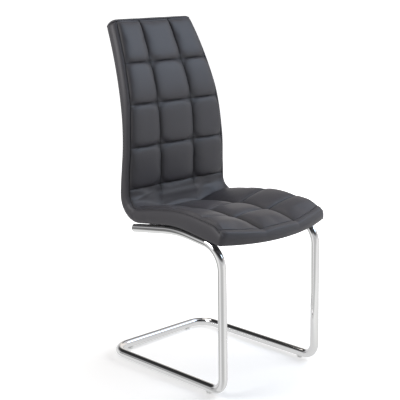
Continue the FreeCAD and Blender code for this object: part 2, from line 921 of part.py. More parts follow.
def seat_section(u, side, on_rail):
    """Closed profile of the seat panel from front to back, at one place across the seat."""
    start = nose_station(across(u, SHELL_FRONT)) + NOSE_DEPTH
    rows = [start] + seat_rows() + [S_CREASE - GAP]
    dip = COLUMN_DIP * (1 - column_fullness(u)) if u < DIP_END else 0.0
    row_dip = ROW_DIP * clamp((CREST_AT - u) / (CREST_AT - DIP_END))
    crown = LEAST_CROWN + SEAT_CROWN * column_fullness(u)
    edges = []
    first = seat_point(rows[0], u, side, seat_base(u, rows[0]) - dip)
    at = first
    for i, (low, high) in enumerate(zip(rows[:-1], rows[1:])):
        middle = (low + high) / 2
        end_dip = dip + (row_dip if i < len(SEAT_ROWS) else 0.0)
        sewn_middle = (seat_base(u, low) + seat_base(u, high)) / 2
        top_n = max(seat_base(u, middle), sewn_middle) - dip + crown
        end = seat_point(high, u, side, seat_base(u, high) - end_dip)
        edges.append(arc(at, seat_point(middle, u, side, top_n), end))
        at = end
    floor_n = RAIL_TOP + 2 * GAP if on_rail else PANEL_FLOOR
    floor_stations = seat_stations(S_RAIL_FRONT - MIN_STEP, rows[-1])
    floor = [seat_point(s, u, side, floor_n) for s in reversed(floor_stations)]
    floor.append(seat_point(S_RAIL_FRONT - 2 * MIN_STEP, u, side, STRIP_LOW))
    floor.append(seat_point(rows[0], u, side, STRIP_LOW))
    edges.append(line(at, floor[0]))
    for a, b in zip(floor[:-1], floor[1:]):
        edges.append(line(a, b))
    edges.append(line(floor[-1], first))
    return Part.Wire(edges)


def seat_panel():
    right = [seat_section(u, -1, False) for u in SEAT_STEPS[1:]]
    right += [seat_section(u, -1, True) for u in CREST_STEPS]
    left = [seat_section(u, 1, False) for u in SEAT_STEPS]
    left += [seat_section(u, 1, True) for u in CREST_STEPS]
    return ruled(right[::-1] + left)


def cover_point(s, share, n):
    """Point of the dust cover, at a share of the width between the side borders."""
    flat = shell_point(s, 0, n)
    return V(share * (seat_half(flat.y) - BORDER_T - 2 * GAP), flat.y, flat.z)


# Border strips

def border_section(s, side):
    """Profile of a side border, which bulges outwards between its two seams and is padded
    out inwards where its upper seam lies further in than its lower one."""
    half = half_width(s)
    high = edge_height(s)
    inset = seam_inset(s)
    padding_low = STRIP_LOW if s < S_RAIL_FRONT - 2 * MIN_STEP else RAIL_TOP + 2 * GAP
    places = [
        (half, 0),
        (half - inset * BULGE_AT + BORDER_BULGE, high * BULGE_AT),
        (half - inset, high),
        (half - inset - BORDER_T, high),
        (half - inset - BORDER_T, padding_low),
        (half - BORDER_T, padding_low),
        (half - BORDER_T, 0),
    ]
    points = [shell_point(s, side * x, n) for x, n in places]
    edges = [arc(points[0], points[1], points[2])]
    for a, b in zip(points[2:], points[3:] + points[:1]):
        edges.append(line(a, b))
    return Part.Wire(edges)


def side_border(side):
    stations = seat_stations(0.0, S_CREASE)[1:] + back_stations(S_CREASE, SOLE_LENGTH - TOP_SEAM_DROP)[1:]
    rise = spread(0.0, S_RAIL_FRONT - 3 * MIN_STEP, 4) + spread(S_RAIL_FRONT - MIN_STEP, SEAT_LEVEL_LENGTH, 6)
    stations = rise + [s for s in stations if s > SEAT_LEVEL_LENGTH + MIN_STEP] + top_stations()[1:]
    return ruled([border_section(s, side) for s in stations])


def strip_section(points):
    """Closed strip profile: inner low, outer low, outer middle, outer high, inner high."""
    inner_low, outer_low, outer_middle, outer_high, inner_high = points
    edges = [
        line(inner_low, outer_low),
        arc(outer_low, outer_middle, outer_high),
        line(outer_high, inner_high),
        line(inner_high, inner_low),
    ]
    return Part.Wire(edges)


def top_border():
    """Strip over the top edge, rounded from the front seam over to the rear one."""
    sections = []
    base = SOLE_LENGTH - BORDER_T
    half = half_width(base)
    for x in spread(-half, half, 13):
        rim = SOLE_LENGTH - BORDER_T / 2
        end = rim + TOP_BULGE - (TOP_BULGE - TOP_END_BULGE) * abs(x / half) ** 8
        profile = [(base, 0.0), (rim, 0.0), (end, EDGE_TOP / 2), (rim, EDGE_TOP), (base, EDGE_TOP)]
        sections.append(strip_section([shell_point(s, x, n) for s, n in profile]))
    return ruled(sections)


def front_border():
    """Plain front strip, whose top edge is sewn to the quilting over the nose of the seat."""
    sections = []
    for u in [-u for u in reversed(FRONT_STEPS[1:])] + list(FRONT_STEPS):
        side = math.copysign(1.0, u)
        nose = nose_station(across(abs(u), SHELL_FRONT))
        seam = nose + NOSE_DEPTH - GAP
        high = seat_base(abs(u), seam) - GAP
        sag = NOSE_SAG * nose / -NOSE_BULGE
        profile = [
            (seam, 0.0),
            (nose + NOSE_ROUND_LOW, -sag),
            (nose, (high - sag) / 2),
            (seam - NOSE_ROUND_TOP, high),
            (seam, high),
        ]
        sections.append(strip_section([seat_point(s, abs(u), side, n) for s, n in profile]))
    return ruled(sections)


def back_cover():
    """Outer back, a plain skin that bows out a little, from the corner up to the top."""
    sections = []
    stations = [S_COVER_SEAM] + back_stations(S_CREASE, SOLE_LENGTH - TOP_SEAM_DROP)
    for s in stations + top_stations()[1:]:
        half = inside_borders(s)
        left = shell_point(s, -half, 0)
        right = shell_point(s, half, 0)
        edges = [
            arc(left, shell_point(s, 0, -BACK_COVER_CROWN), right),
            line(right, shell_point(s, half, BACK_COVER_T)),
            line(shell_point(s, half, BACK_COVER_T), shell_point(s, -half, BACK_COVER_T)),
            line(shell_point(s, -half, BACK_COVER_T), left),
        ]
        sections.append(Part.Wire(edges))
    return ruled(sections)


def bottom_cover():
    """Dust cover under the seat, with a hole at each bolt."""
    sections = []
    for share in spread(-1.0, 1.0, 17):
        start = nose_station(share * HALF_SEAT_FRONT) + NOSE_DEPTH
        stations = seat_stations(start, S_COVER_SEAM - GAP)
        lower = [cover_point(s, share, 0.0) for s in stations]
        upper = [cover_point(s, share, BOTTOM_COVER_T) for s in reversed(stations)]
        sections.append(polygon(lower + upper))
    cover = ruled(sections)
    for tool in bolt_hole_tools(BOLT_D / 2 + GAP):
        cover = cover.cut(tool)
    return cover


def cover_staples():
    """Staples that hold the dust cover, in a row along each side."""
    staples = []
    for side in (-1, 1):
        for s in spread(NOSE_DEPTH + STAPLE_WIDTH, S_CORNER - STAPLE_WIDTH, STAPLE_COUNT):
            x = side * (half_width(s) - RAIL_INSET)
            low = shell_point(s, x - STAPLE_D / 2, -STAPLE_D - GAP)
            high = shell_point(s, x + STAPLE_D / 2, -GAP)
            heading = sole_at(s)[2]
            along = V(0, math.cos(heading), math.sin(heading)) * STAPLE_WIDTH
            corners = [low, V(high.x, low.y, low.z), high, V(low.x, high.y, high.z)]
            staples.append(Part.Face(polygon(corners)).extrude(along))
    return Part.makeCompound(staples)


def shell_parts():
    rails = [side_rail(side) for side in (-1, 1)]
    rail_tools = [inner_rail(side, RAIL_R + GAP / 3) for side in (-1, 1)]
    s_top_rail = S_RAIL_TOP - RAIL_R
    s_lumbar_rail = S_LUMBAR + LUMBAR_LENGTH / 2
    top_rail = cross_rail(s_top_rail, rail_tools)
    lumbar_rail = cross_rail(s_lumbar_rail, rail_tools)
    cross_tools = []
    for s in (s_top_rail, s_lumbar_rail):
        centre = shell_point(s, 0, RAIL_HEIGHT)
        cross_tools.append(cylinder(centre - V(BASE_WIDTH / 2, 0, 0), V(1, 0, 0), RAIL_R + GAP, BASE_WIDTH))
    strips = [mounting_strip(y) for y in BOLT_PLACES]
    web_back = [station_over_arms(rise, BACK_FOAM_LOW) for rise in BACK_WEBS]
    web_seat = [station_of_y(y) for y in SEAT_WEBS]
    return {
        "inner_rail_right": rails[0],
        "inner_rail_left": rails[1],
        "top_rail": top_rail,
        "lumbar_rail": lumbar_rail,
        "front_mounting_strip": strips[0],
        "rear_mounting_strip": strips[1],
        "back_webbing": strap_set(web_back, BACK_FOAM_LOW - WEB_T - GAP),
        "seat_webbing": strap_set(web_seat, WEB_LOW),
        "back_foam": back_foam(cross_tools),
        "seat_foam": seat_foam(),
        "edge_foam_right": edge_foam(-1),
        "edge_foam_left": edge_foam(1),
        "quilted_back_panel": back_panel(),
        "quilted_seat_panel": seat_panel(),
        "side_border_right": side_border(-1),
        "side_border_left": side_border(1),
        "top_border": top_border(),
        "front_border": front_border(),
        "outer_back_cover": back_cover(),
        "bottom_dust_cover": bottom_cover(),
        "cover_staples": cover_staples(),
    }


def frame_parts():
    glides = glide_sets()
    return {
        "frame_tube_right": frame_tube(-1),
        "frame_tube_left": frame_tube(1),
        "joining_sleeve": joining_sleeve(),
        "front_seat_brace": seat_brace(BRACE_PLACES[0]),
        "rear_seat_brace": seat_brace(BRACE_PLACES[1]),
        "tube_end_plugs": end_plugs(),
        "front_glides": Part.makeCompound([glides[0], glides[2]]),
        "rear_glides": Part.makeCompound([glides[1], glides[3]]),
        "seat_bolts": seat_bolts(),
        "bolt_washers": bolt_washers(),
        "mounting_tabs": mounting_tabs(),
        "seat_spacers": seat_spacers(),
        "weld_nuts": weld_nuts(),
    }


# Every piece moves by the same amount, which puts the origin on the floor below the middle
nodes = {**frame_parts(), **shell_parts()}
everything = Part.makeCompound(list(nodes.values())).BoundBox
origin_y = (everything.YMin + everything.YMax) / 2
os.makedirs("parts", exist_ok=True)
for name, node_shape in nodes.items():
    bad = [solid for solid in node_shape.Solids if not solid.isValid() or solid.Volume < 0]
    print(name, "solids", len(node_shape.Solids), "volume", round(node_shape.Volume), "bad", len(bad))
    node_shape.translate(V(0, -origin_y, 0))
    node_shape.exportStep("parts/" + name + ".step")
print("size", [round(size, 1) for size in (everything.XLength, everything.YLength, everything.ZLength)])
print("origin y", round(origin_y, 2))
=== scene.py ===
# %% [markdown]
# # A padded leather chair on a bent steel tube
# The chair is a quilted leather shell, seat and back in one sweep, on a cantilever frame
# bent from chrome-plated tube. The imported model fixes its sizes. Here it is only dressed:
# the leather gets its padding, seams and grain, and the tube its plating.

# %% Load the frame
import math

import bmesh
import bpy
from mathutils import Matrix, Vector


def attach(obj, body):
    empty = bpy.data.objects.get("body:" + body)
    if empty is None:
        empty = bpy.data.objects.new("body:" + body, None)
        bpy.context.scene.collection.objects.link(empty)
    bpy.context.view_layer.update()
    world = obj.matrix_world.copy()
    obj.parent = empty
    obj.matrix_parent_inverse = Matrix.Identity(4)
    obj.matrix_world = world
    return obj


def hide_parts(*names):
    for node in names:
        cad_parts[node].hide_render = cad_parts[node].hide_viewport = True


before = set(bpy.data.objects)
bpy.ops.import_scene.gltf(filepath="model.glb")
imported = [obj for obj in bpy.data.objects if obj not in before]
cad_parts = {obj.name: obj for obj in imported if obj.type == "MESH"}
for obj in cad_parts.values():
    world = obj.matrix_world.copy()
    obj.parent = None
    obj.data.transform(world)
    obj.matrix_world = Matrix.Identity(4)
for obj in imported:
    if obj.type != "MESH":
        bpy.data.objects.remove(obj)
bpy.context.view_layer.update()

# %% [markdown]
# ## Units and the plane of the chair
# The drawing of the chair is in millimetres and starts at the axis of the front legs. The
# frame is in metres and starts under the chair's middle, so one helper turns a drawn point
# into a point of the scene.

# %% From drawing to scene
MM = 0.001
LEG_AXIS_Y = -229.23


def place(x, y, z):
    """Scene point for a drawn point in millimetres."""
    return Vector((x * MM, (y + LEG_AXIS_Y) * MM, z * MM))


def clamp(u):
    """The nearest number from 0 to 1."""
    return min(1.0, max(0.0, u))


def ease(u):
    """Goes from 0 to 1 with level ends."""
    u = clamp(u)
    return u * u * (3 - 2 * u)


def follow(s, table):
    """Smooth value at s from a short list of stations and values."""
    if s <= table[0][0]:
        return table[0][1]
    for (s0, v0), (s1, v1) in zip(table[:-1], table[1:]):
        if s <= s1:
            return v0 + (v1 - v0) * ease((s - s0) / (s1 - s0))
    return table[-1][1]


print("front legs stand at", place(0, 0, 0))

# %% [markdown]
# ## Camera
# The photograph is taken from in front and from the -X side, from a little over the top of
# the back, with a long lens. The camera stands at a measured place and is turned by three
# angles, which is easier to correct than a camera that is dragged about.

# %% Camera
CAMERA_PLACE = (-2026.9, -1862.0, 1134.5)
CAMERA_YAW = 43.386
CAMERA_PITCH = 12.495
CAMERA_ROLL = -0.842
FOCAL_PIXELS = 1025.3
IMAGE_PIXELS = 400


def aim_camera():
    """Place and turn of the camera: yaw from straight ahead, pitch down, roll."""
    yaw = math.radians(CAMERA_YAW)
    pitch = math.radians(CAMERA_PITCH)
    roll = math.radians(CAMERA_ROLL)
    look = Vector((math.sin(yaw) * math.cos(pitch), math.cos(yaw) * math.cos(pitch), -math.sin(pitch)))
    level = Vector((math.cos(yaw), -math.sin(yaw), 0))
    upright = level.cross(look)
    right = level * math.cos(roll) + upright * math.sin(roll)
    up = upright * math.cos(roll) - level * math.sin(roll)
    turn = Matrix((right, up, -look)).transposed().to_4x4()
    turn.translation = place(*CAMERA_PLACE)
    return turn


camera_data = bpy.data.cameras.new("camera")
camera_data.sensor_width = 36
camera_data.lens = FOCAL_PIXELS * camera_data.sensor_width / IMAGE_PIXELS
camera_data.clip_end = 200
camera = bpy.data.objects.new("camera", camera_data)
camera.matrix_world = aim_camera()
bpy.context.scene.collection.objects.link(camera)
bpy.context.scene.camera = camera
bpy.context.scene.view_settings.view_transform = "Standard"
print("lens", round(camera_data.lens, 1), "mm")

# %% [markdown]
# ## Node helpers
# Every finish is a small tree of shader nodes. Writing the trees out is long, so a few
# helpers add a node, join sockets, and mix or fade values. Most calls stand for one node,
# so the tree in the shader editor reads like the code.

# %% Node helpers
def add_node(tree, kind, **values):
    """New node with the given inputs or settings."""
    node = tree.nodes.new(kind)
    for name, value in values.items():
        if name in node.inputs:
            node.inputs[name].default_value = value
        else:
            setattr(node, name, value)
    return node


def join(tree, source, target):
    """Link from one node's output to another's input."""
    tree.links.new(source, target)


def math_node(tree, operation, first, second):
    """Result of a calculation with two sockets or numbers."""
    node = tree.nodes.new("ShaderNodeMath")
    node.operation = operation
    for socket, value in zip(node.inputs, (first, second)):
        if isinstance(value, (int, float)):
            socket.default_value = value
        else:
            join(tree, value, socket)
    return node.outputs["Value"]


def add_dents(tree, height, shader, strength, distance):
    """Dents of a finish: a height socket becomes the shader's normal."""
    dents = add_node(tree, "ShaderNodeBump", Strength=strength, Distance=distance)
    join(tree, height, dents.inputs["Height"])
    join(tree, dents.outputs["Normal"], shader.inputs["Normal"])


def new_material(name):
    """Material with a Principled shader, and that shader."""
    material = bpy.data.materials.new(name)
    material.use_nodes = True
    return material, material.node_tree.nodes["Principled BSDF"]


def new_group(name, inputs, outputs):
    """Shader node group with named sockets, and its two end nodes."""
    group = bpy.data.node_groups.new(name, "ShaderNodeTree")
    for label, kind, value in inputs:
        socket = group.interface.new_socket(label, in_out="INPUT", socket_type=kind)
        socket.default_value = value
    for label, kind in outputs:
        group.interface.new_socket(label, in_out="OUTPUT", socket_type=kind)
    return group, group.nodes.new("NodeGroupInput"), group.nodes.new("NodeGroupOutput")


def place_group(tree, group, **values):
    """A node group in a tree, with its own values; an underscore stands for a space."""
    node = tree.nodes.new("ShaderNodeGroup")
    node.node_tree = group
    for name, value in values.items():
        node.inputs[name.replace("_", " ")].default_value = value
    return node


def blend(tree, factor, first, second):
    """Colour mix of two sockets or constant colours."""
    mix = add_node(tree, "ShaderNodeMix", data_type="RGBA")
    join(tree, factor, mix.inputs["Factor"])
    for socket, value in ((mix.inputs[6], first), (mix.inputs[7], second)):
        if isinstance(value, tuple):
            socket.default_value = value
        else:
            join(tree, value, socket)
    return mix.outputs[2]


def grow(tree, value, low, high):
    """Smooth 0 to 1 while a value goes from low to high."""
    ramp = add_node(tree, "ShaderNodeMapRange", interpolation_type="SMOOTHSTEP")
    join(tree, value, ramp.inputs["Value"])
    ramp.inputs["From Min"].default_value = low
    ramp.inputs["From Max"].default_value = high
    return ramp.outputs["Result"]


def window(tree, value, rise, fall):
    """1 between two smooth edges, each given by where it starts and ends."""
    before = math_node(tree, "SUBTRACT", 1.0, grow(tree, value, *fall))
    return math_node(tree, "MULTIPLY", grow(tree, value, *rise), before)


print("helpers ready")

# %% [markdown]
# ## The room as chrome sees it
# A polished tube shows the whole room, so its stripes come from what stands round it. In a
# studio those are pale walls with darker gaps between the lamps. A radial gradient goes once
# round the chair, and a colour ramp turns it into those sides. The floor and the walls both
# place this group, so that a stripe runs on where they meet.

# %% The sides of the room in a mirror
SIDE_LEVELS = [
    (0.06, 0.58), (0.14, 0.54), (0.20, 0.66), (0.26, 0.93), (0.36, 0.90), (0.46, 0.82), (0.55, 0.86),
    (0.66, 0.90), (0.78, 0.84), (0.82, 0.80), (0.84, 0.18), (0.868, 0.18), (0.89, 0.86), (0.94, 0.92),
]
SIDE_JOINT = 0.86
SIDE_WARMTH = 0.99


def build_sides():
    """Group for the lighter and darker sides round the chair, from a place or a direction."""
    group, start, end = new_group(
        "studio_sides", [("Place", "NodeSocketVector", (0, 0, 0))], [("Colour", "NodeSocketColor")])
    turn = add_node(group, "ShaderNodeTexGradient", gradient_type="RADIAL")
    join(group, start.outputs["Place"], turn.inputs["Vector"])
    sides = group.nodes.new("ShaderNodeValToRGB")
    join(group, turn.outputs["Fac"], sides.inputs["Fac"])
    stops = sides.color_ramp.elements
    for stop in stops:
        stop.color = (SIDE_JOINT, SIDE_JOINT, SIDE_JOINT, 1)
    for position, level in SIDE_LEVELS:
        stops.new(position).color = (level, level, level * SIDE_WARMTH, 1)
    join(group, sides.outputs["Color"], end.inputs["Colour"])
    return group


studio_sides = build_sides()
print("sides", len(SIDE_LEVELS))

# %% [markdown]
# ## Floor
# The floor is a pale sheet without an edge in sight. Product photographs of this kind are
# cleared to white behind the object, and only a soft shadow stays. So the floor shows its
# own lit colour plus some white, little under the chair and more further out, which leaves
# the shadow. Chrome sees another floor, a painted glow for glossy rays: an even pale patch
# under the chair, and round it the sides of the room.

# %% Floor
PAPER = (0.8, 0.8, 0.8, 1)
FLOOR_LIFT = 0.30
CLEARED_FROM = (0.15, 1.05)
SHADOW_MIDDLE = (-0.14, -0.02, 0)
NEAR_FOOT = (-0.19, -0.23, 0)
FOOT_PATCH = (0.74, 0.74, 0.74, 1)
PATCH_EDGE = (0.15, 0.5)


def floor_painted_reflection(tree):
    """Painted glow that chrome sees instead of the floor: an even pale patch under the chair, then the room's
    sides.
    """
    where = tree.nodes.new("ShaderNodeTexCoord")
    from_foot = add_node(tree, "ShaderNodeVectorMath", operation="SUBTRACT")
    join(tree, where.outputs["Object"], from_foot.inputs[0])
    from_foot.inputs[1].default_value = NEAR_FOOT
    sides = place_group(tree, studio_sides)
    join(tree, from_foot.outputs["Vector"], sides.inputs["Place"])
    far = add_node(tree, "ShaderNodeVectorMath", operation="LENGTH")
    join(tree, where.outputs["Object"], far.inputs[0])
    out = grow(tree, far.outputs["Value"], *PATCH_EDGE)
    glow = tree.nodes.new("ShaderNodeEmission")
    join(tree, blend(tree, out, FOOT_PATCH, sides.outputs["Colour"]), glow.inputs["Color"])
    return glow


def floor_material():
    """Lit paper with a lift of white for the camera and for clear parts, and its mirror look."""
    material = bpy.data.materials.new("studio_floor")
    material.use_nodes = True
    tree = material.node_tree
    tree.nodes.clear()
    path = tree.nodes.new("ShaderNodeLightPath")
    seen = math_node(tree, "MAXIMUM", path.outputs["Is Camera Ray"], path.outputs["Is Glossy Ray"])
    seen = math_node(tree, "MAXIMUM", seen, path.outputs["Is Transmission Ray"])
    paper = add_node(tree, "ShaderNodeBsdfDiffuse", Color=PAPER)
    glow = add_node(tree, "ShaderNodeEmission", Color=(1, 1, 1, 1))
    where = tree.nodes.new("ShaderNodeTexCoord")
    far = add_node(tree, "ShaderNodeVectorMath", operation="DISTANCE")
    join(tree, where.outputs["Object"], far.inputs[0])
    far.inputs[1].default_value = SHADOW_MIDDLE
    cleared = grow(tree, far.outputs["Value"], *CLEARED_FROM)
    lift = math_node(tree, "ADD", FLOOR_LIFT, math_node(tree, "MULTIPLY", cleared, 1 - FLOOR_LIFT))
    join(tree, math_node(tree, "MULTIPLY", seen, lift), glow.inputs["Strength"])
    both = tree.nodes.new("ShaderNodeAddShader")
    join(tree, paper.outputs[0], both.inputs[0])
    join(tree, glow.outputs[0], both.inputs[1])
    # For glossy rays the floor shows only its painted glow.
    mirrored = tree.nodes.new("ShaderNodeMixShader")
    join(tree, path.outputs["Is Glossy Ray"], mirrored.inputs[0])
    join(tree, both.outputs[0], mirrored.inputs[1])
    join(tree, floor_painted_reflection(tree).outputs[0], mirrored.inputs[2])
    out = tree.nodes.new("ShaderNodeOutputMaterial")
    join(tree, mirrored.outputs[0], out.inputs["Surface"])
    return material


# %% Lay the floor
floor_mesh = bpy.data.meshes.new("studio_floor")
bm = bmesh.new()
bmesh.ops.create_grid(bm, x_segments=1, y_segments=1, size=60)
bm.to_mesh(floor_mesh)
bm.free()
floor_mesh.materials.append(floor_material())
studio_floor = bpy.data.objects.new("studio_floor", floor_mesh)
bpy.context.scene.collection.objects.link(studio_floor)
print("floor", round(studio_floor.dimensions.x), "m wide")

# %% [markdown]
# ## Walls
# The world is an even, dim white room, and the camera sees plain white behind the chair.
# For mirrors alone it has walls. They start with the sides of the room, darken upwards like
# a studio above its white sweep, and hold two things that a photographer sets up: a broad
# grey screen at the front right, and a warm white card low on the right, which gives the
# tubes their light line.

# %% What mirrors see of the walls
WALL_LEVELS = [
    (0.08, 1.0), (0.18, 0.80), (0.30, 0.60), (0.38, 0.28),
    (0.46, 0.10), (0.58, 0.05), (0.70, 0.03), (0.85, 0.06),
]
WALL_COOLNESS = 1.01
CEILING = 0.5
SIDES_END = (0.12, 0.26)
SCREEN_STARTS, SCREEN_ENDS = (0.32, 0.38), (0.55, 0.60)
SCREEN_FOOT = (0.2, 0.4)
SCREEN_TURNS = (0.40, 0.50)
SCREEN_LOW = (0.62, 0.61, 0.60, 1)
SCREEN_HIGH = (0.70, 0.70, 0.72, 1)
CARD_STARTS, CARD_ENDS = (0.40, 0.46), (0.60, 0.68)
CARD_FOOT, CARD_TOP = (0.14, 0.20), (0.42, 0.52)
CARD_LIGHT = (0.98, 0.92, 0.86, 1)


def wall_bands(tree, up):
    """Grey of the walls by height: white at the floor, nearly black overhead."""
    band = tree.nodes.new("ShaderNodeValToRGB")
    join(tree, up, band.inputs["Fac"])
    stops = band.color_ramp.elements
    stops[0].position, stops[0].color = 0.0, (1, 1, 1, 1)
    stops[1].position, stops[1].color = 1.0, (CEILING, CEILING, CEILING, 1)
    for position, level in WALL_LEVELS:
        stops.new(position).color = (level, level, level * WALL_COOLNESS, 1)
    return band.outputs["Color"]


def mirrored_walls(tree):
    """Colour of the room in a mirror: sides and bands, then the screen, then the card."""
    where = tree.nodes.new("ShaderNodeTexCoord").outputs["Generated"]
    split = tree.nodes.new("ShaderNodeSeparateXYZ")
    join(tree, where, split.inputs[0])
    up = split.outputs["Z"]
    turn = add_node(tree, "ShaderNodeTexGradient", gradient_type="RADIAL")
    join(tree, where, turn.inputs["Vector"])
    around = turn.outputs["Fac"]
    sides = place_group(tree, studio_sides)
    join(tree, where, sides.inputs["Place"])
    joint = (SIDE_JOINT, SIDE_JOINT, SIDE_JOINT, 1)
    walls = add_node(tree, "ShaderNodeVectorMath", operation="MULTIPLY")
    join(tree, blend(tree, grow(tree, up, *SIDES_END), sides.outputs["Colour"], joint), walls.inputs[0])
    join(tree, wall_bands(tree, up), walls.inputs[1])
    screen = math_node(
        tree, "MULTIPLY", window(tree, around, SCREEN_STARTS, SCREEN_ENDS), grow(tree, up, *SCREEN_FOOT))
    screen_light = blend(tree, grow(tree, up, *SCREEN_TURNS), SCREEN_LOW, SCREEN_HIGH)
    screened = blend(tree, screen, walls.outputs["Vector"], screen_light)
    card = math_node(
        tree, "MULTIPLY", window(tree, around, CARD_STARTS, CARD_ENDS), window(tree, up, CARD_FOOT, CARD_TOP))
    return blend(tree, card, screened, CARD_LIGHT)


# %% World
WORLD_LEVEL = 0.22


def build_world():
    """Dim even light, the walls for mirrors, and white for the camera and for clear parts."""
    world = bpy.data.worlds.new("studio_room")
    bpy.context.scene.world = world
    world.use_nodes = True
    tree = world.node_tree
    tree.nodes.clear()
    path = tree.nodes.new("ShaderNodeLightPath")
    room = add_node(tree, "ShaderNodeBackground", Color=(1, 1, 1, 1), Strength=WORLD_LEVEL)
    mirror = add_node(tree, "ShaderNodeBackground", Strength=1.0)
    join(tree, mirrored_walls(tree), mirror.inputs["Color"])
    white = add_node(tree, "ShaderNodeBackground", Color=(1, 1, 1, 1), Strength=1.0)
    glossy = tree.nodes.new("ShaderNodeMixShader")
    join(tree, path.outputs["Is Glossy Ray"], glossy.inputs[0])
    join(tree, room.outputs[0], glossy.inputs[1])
    join(tree, mirror.outputs[0], glossy.inputs[2])
    behind = tree.nodes.new("ShaderNodeMixShader")
    seen = math_node(tree, "MAXIMUM", path.outputs["Is Camera Ray"], path.outputs["Is Transmission Ray"])
    join(tree, seen, behind.inputs[0])
    join(tree, glossy.outputs[0], behind.inputs[1])
    join(tree, white.outputs[0], behind.inputs[2])
    out = tree.nodes.new("ShaderNodeOutputWorld")
    join(tree, behind.outputs[0], out.inputs["Surface"])


build_world()
print("world level", WORLD_LEVEL)

# %% [markdown]
# ## Lamps
# Five square soft boxes light the chair. The cool key lamp stands high at the front right
# and gives the leather its soft gloss. A front lamp and a right lamp fill it in, a small one
# lifts the left side, and a warm one from above and behind lines the edges. Chrome would
# show the two fill lamps as hard white squares, so mirrors don't see them.

# %% Lamps
CHAIR_MIDDLE = (0, 0, 0.6)


def soft_lamp(name, at, size, power, colour, towards=CHAIR_MIDDLE):
    """Square area lamp that looks at a place on the chair."""
    data = bpy.data.lights.new(name, "AREA")
    data.shape = "RECTANGLE"
    data.size = data.size_y = size
    data.energy = power
    data.color = colour
    lamp = bpy.data.objects.new(name, data)
    aim = (Vector(towards) - Vector(at)).to_track_quat("-Z", "Y")
    lamp.matrix_world = Matrix.LocRotScale(Vector(at), aim, None)
    bpy.context.scene.collection.objects.link(lamp)
    return lamp


soft_lamp("key_lamp", (1.40, -1.40, 2.45), 1.9, 28, (0.62, 0.78, 1.0))
front_lamp = soft_lamp("front_lamp", (1.75, -1.75, 1.74), 1.6, 28, (1.0, 0.98, 0.96))
right_lamp = soft_lamp("right_lamp", (2.5, 0.2, 1.35), 1.6, 24, (1.0, 0.98, 0.97))
soft_lamp("left_lamp", (-1.5, 0.4, 1.6), 0.9, 17, (1.0, 0.99, 1.0), towards=(-0.15, 0, 0.8))
soft_lamp("rear_lamp", (0.0, 1.35, 2.95), 1.4, 17, (1.0, 0.95, 0.90))
for lamp in (front_lamp, right_lamp):
    lamp.visible_glossy = False

# %% [markdown]
# ## Leather grain
# The cover is a smooth, finely grained leather or leather cloth. Its grain is a net of tiny
# cells with a slower unevenness under it. A group of nodes makes the height of both once,
# and each leather part places it with its own strength.

# %% Grain group
CELL_HEIGHT = 0.12


def build_grain():
    """Height of the cells and the waves of leather, and a slow tone for its colour."""
    group, start, end = new_group(
        "leather_grain",
        [("Cells", "NodeSocketFloat", 900.0), ("Waves", "NodeSocketFloat", 16.0),
         ("Wave Share", "NodeSocketFloat", 0.5)],
        [("Height", "NodeSocketFloat"), ("Tone", "NodeSocketFloat")],
    )
    where = group.nodes.new("ShaderNodeTexCoord")
    cells = add_node(group, "ShaderNodeTexVoronoi", feature="SMOOTH_F1", Smoothness=0.6)
    join(group, where.outputs["Object"], cells.inputs["Vector"])
    join(group, start.outputs["Cells"], cells.inputs["Scale"])
    waves = add_node(group, "ShaderNodeTexNoise", Detail=3.0, Roughness=0.55)
    join(group, where.outputs["Object"], waves.inputs["Vector"])
    join(group, start.outputs["Waves"], waves.inputs["Scale"])
    low = math_node(group, "MULTIPLY", cells.outputs["Distance"], CELL_HEIGHT)
    slow = math_node(group, "MULTIPLY", waves.outputs["Fac"], start.outputs["Wave Share"])
    join(group, math_node(group, "ADD", low, slow), end.inputs["Height"])
    tone = add_node(group, "ShaderNodeTexNoise", Scale=7.0, Detail=4.0, Roughness=0.6)
    join(group, where.outputs["Object"], tone.inputs["Vector"])
    join(group, tone.outputs["Fac"], end.inputs["Tone"])
    return group


leather_grain = build_grain()
print("grain sockets", [socket.name for socket in leather_grain.interface.items_tree])

# %% [markdown]
# ## Painted seam shade
# Shade falls into a sewn groove and beside it, and here it is painted into the colour: seams
# look darker, and duller, than the full parts of a pillow. The padded pieces carry a number
# per point, called seam, which is 1 in the groove and fades out beside it. The group darkens
# the colour by it as painted shade, and lets a slow tone wander over the whole cover.

# %% Seam group
MEAN_TONE = 0.5


def build_seam_shade():
    """Colour with painted shade in the seams, varied by a tone, and the seams' mask."""
    group, start, end = new_group(
        "painted_seam_shade",
        [("Colour", "NodeSocketColor", (0.08, 0.08, 0.085, 1)), ("Tone", "NodeSocketFloat", 0.5),
         ("Dark", "NodeSocketFloat", 0.45), ("Spread", "NodeSocketFloat", 0.25)],
        [("Colour", "NodeSocketColor"), ("Mask", "NodeSocketFloat")],
    )
    seam = add_node(group, "ShaderNodeAttribute", attribute_name="seam")
    # Dark sets how strong the painted seam shade is
    darker = math_node(group, "MULTIPLY", seam.outputs["Fac"], start.outputs["Dark"])
    low = math_node(group, "SUBTRACT", 1.0, darker)
    tone = math_node(group, "SUBTRACT", start.outputs["Tone"], MEAN_TONE)
    varied = math_node(group, "ADD", 1.0, math_node(group, "MULTIPLY", tone, start.outputs["Spread"]))
    level = math_node(group, "MULTIPLY", low, varied)
    scale = add_node(group, "ShaderNodeVectorMath", operation="SCALE")
    join(group, start.outputs["Colour"], scale.inputs[0])
    join(group, level, scale.inputs["Scale"])
    join(group, scale.outputs["Vector"], end.inputs["Colour"])
    join(group, seam.outputs["Fac"], end.inputs["Mask"])
    return group


painted_seam_shade = build_seam_shade()
print("seam sockets", [socket.name for socket in painted_seam_shade.interface.items_tree])

# %% [markdown]
# ## Leather
# The leather is a dark neutral grey with a low, broad gloss. The groups give its colour, with
# the painted seam shade, and its height, and the shader stays here. Roughness rises in the
# seams, where no hand rubs.

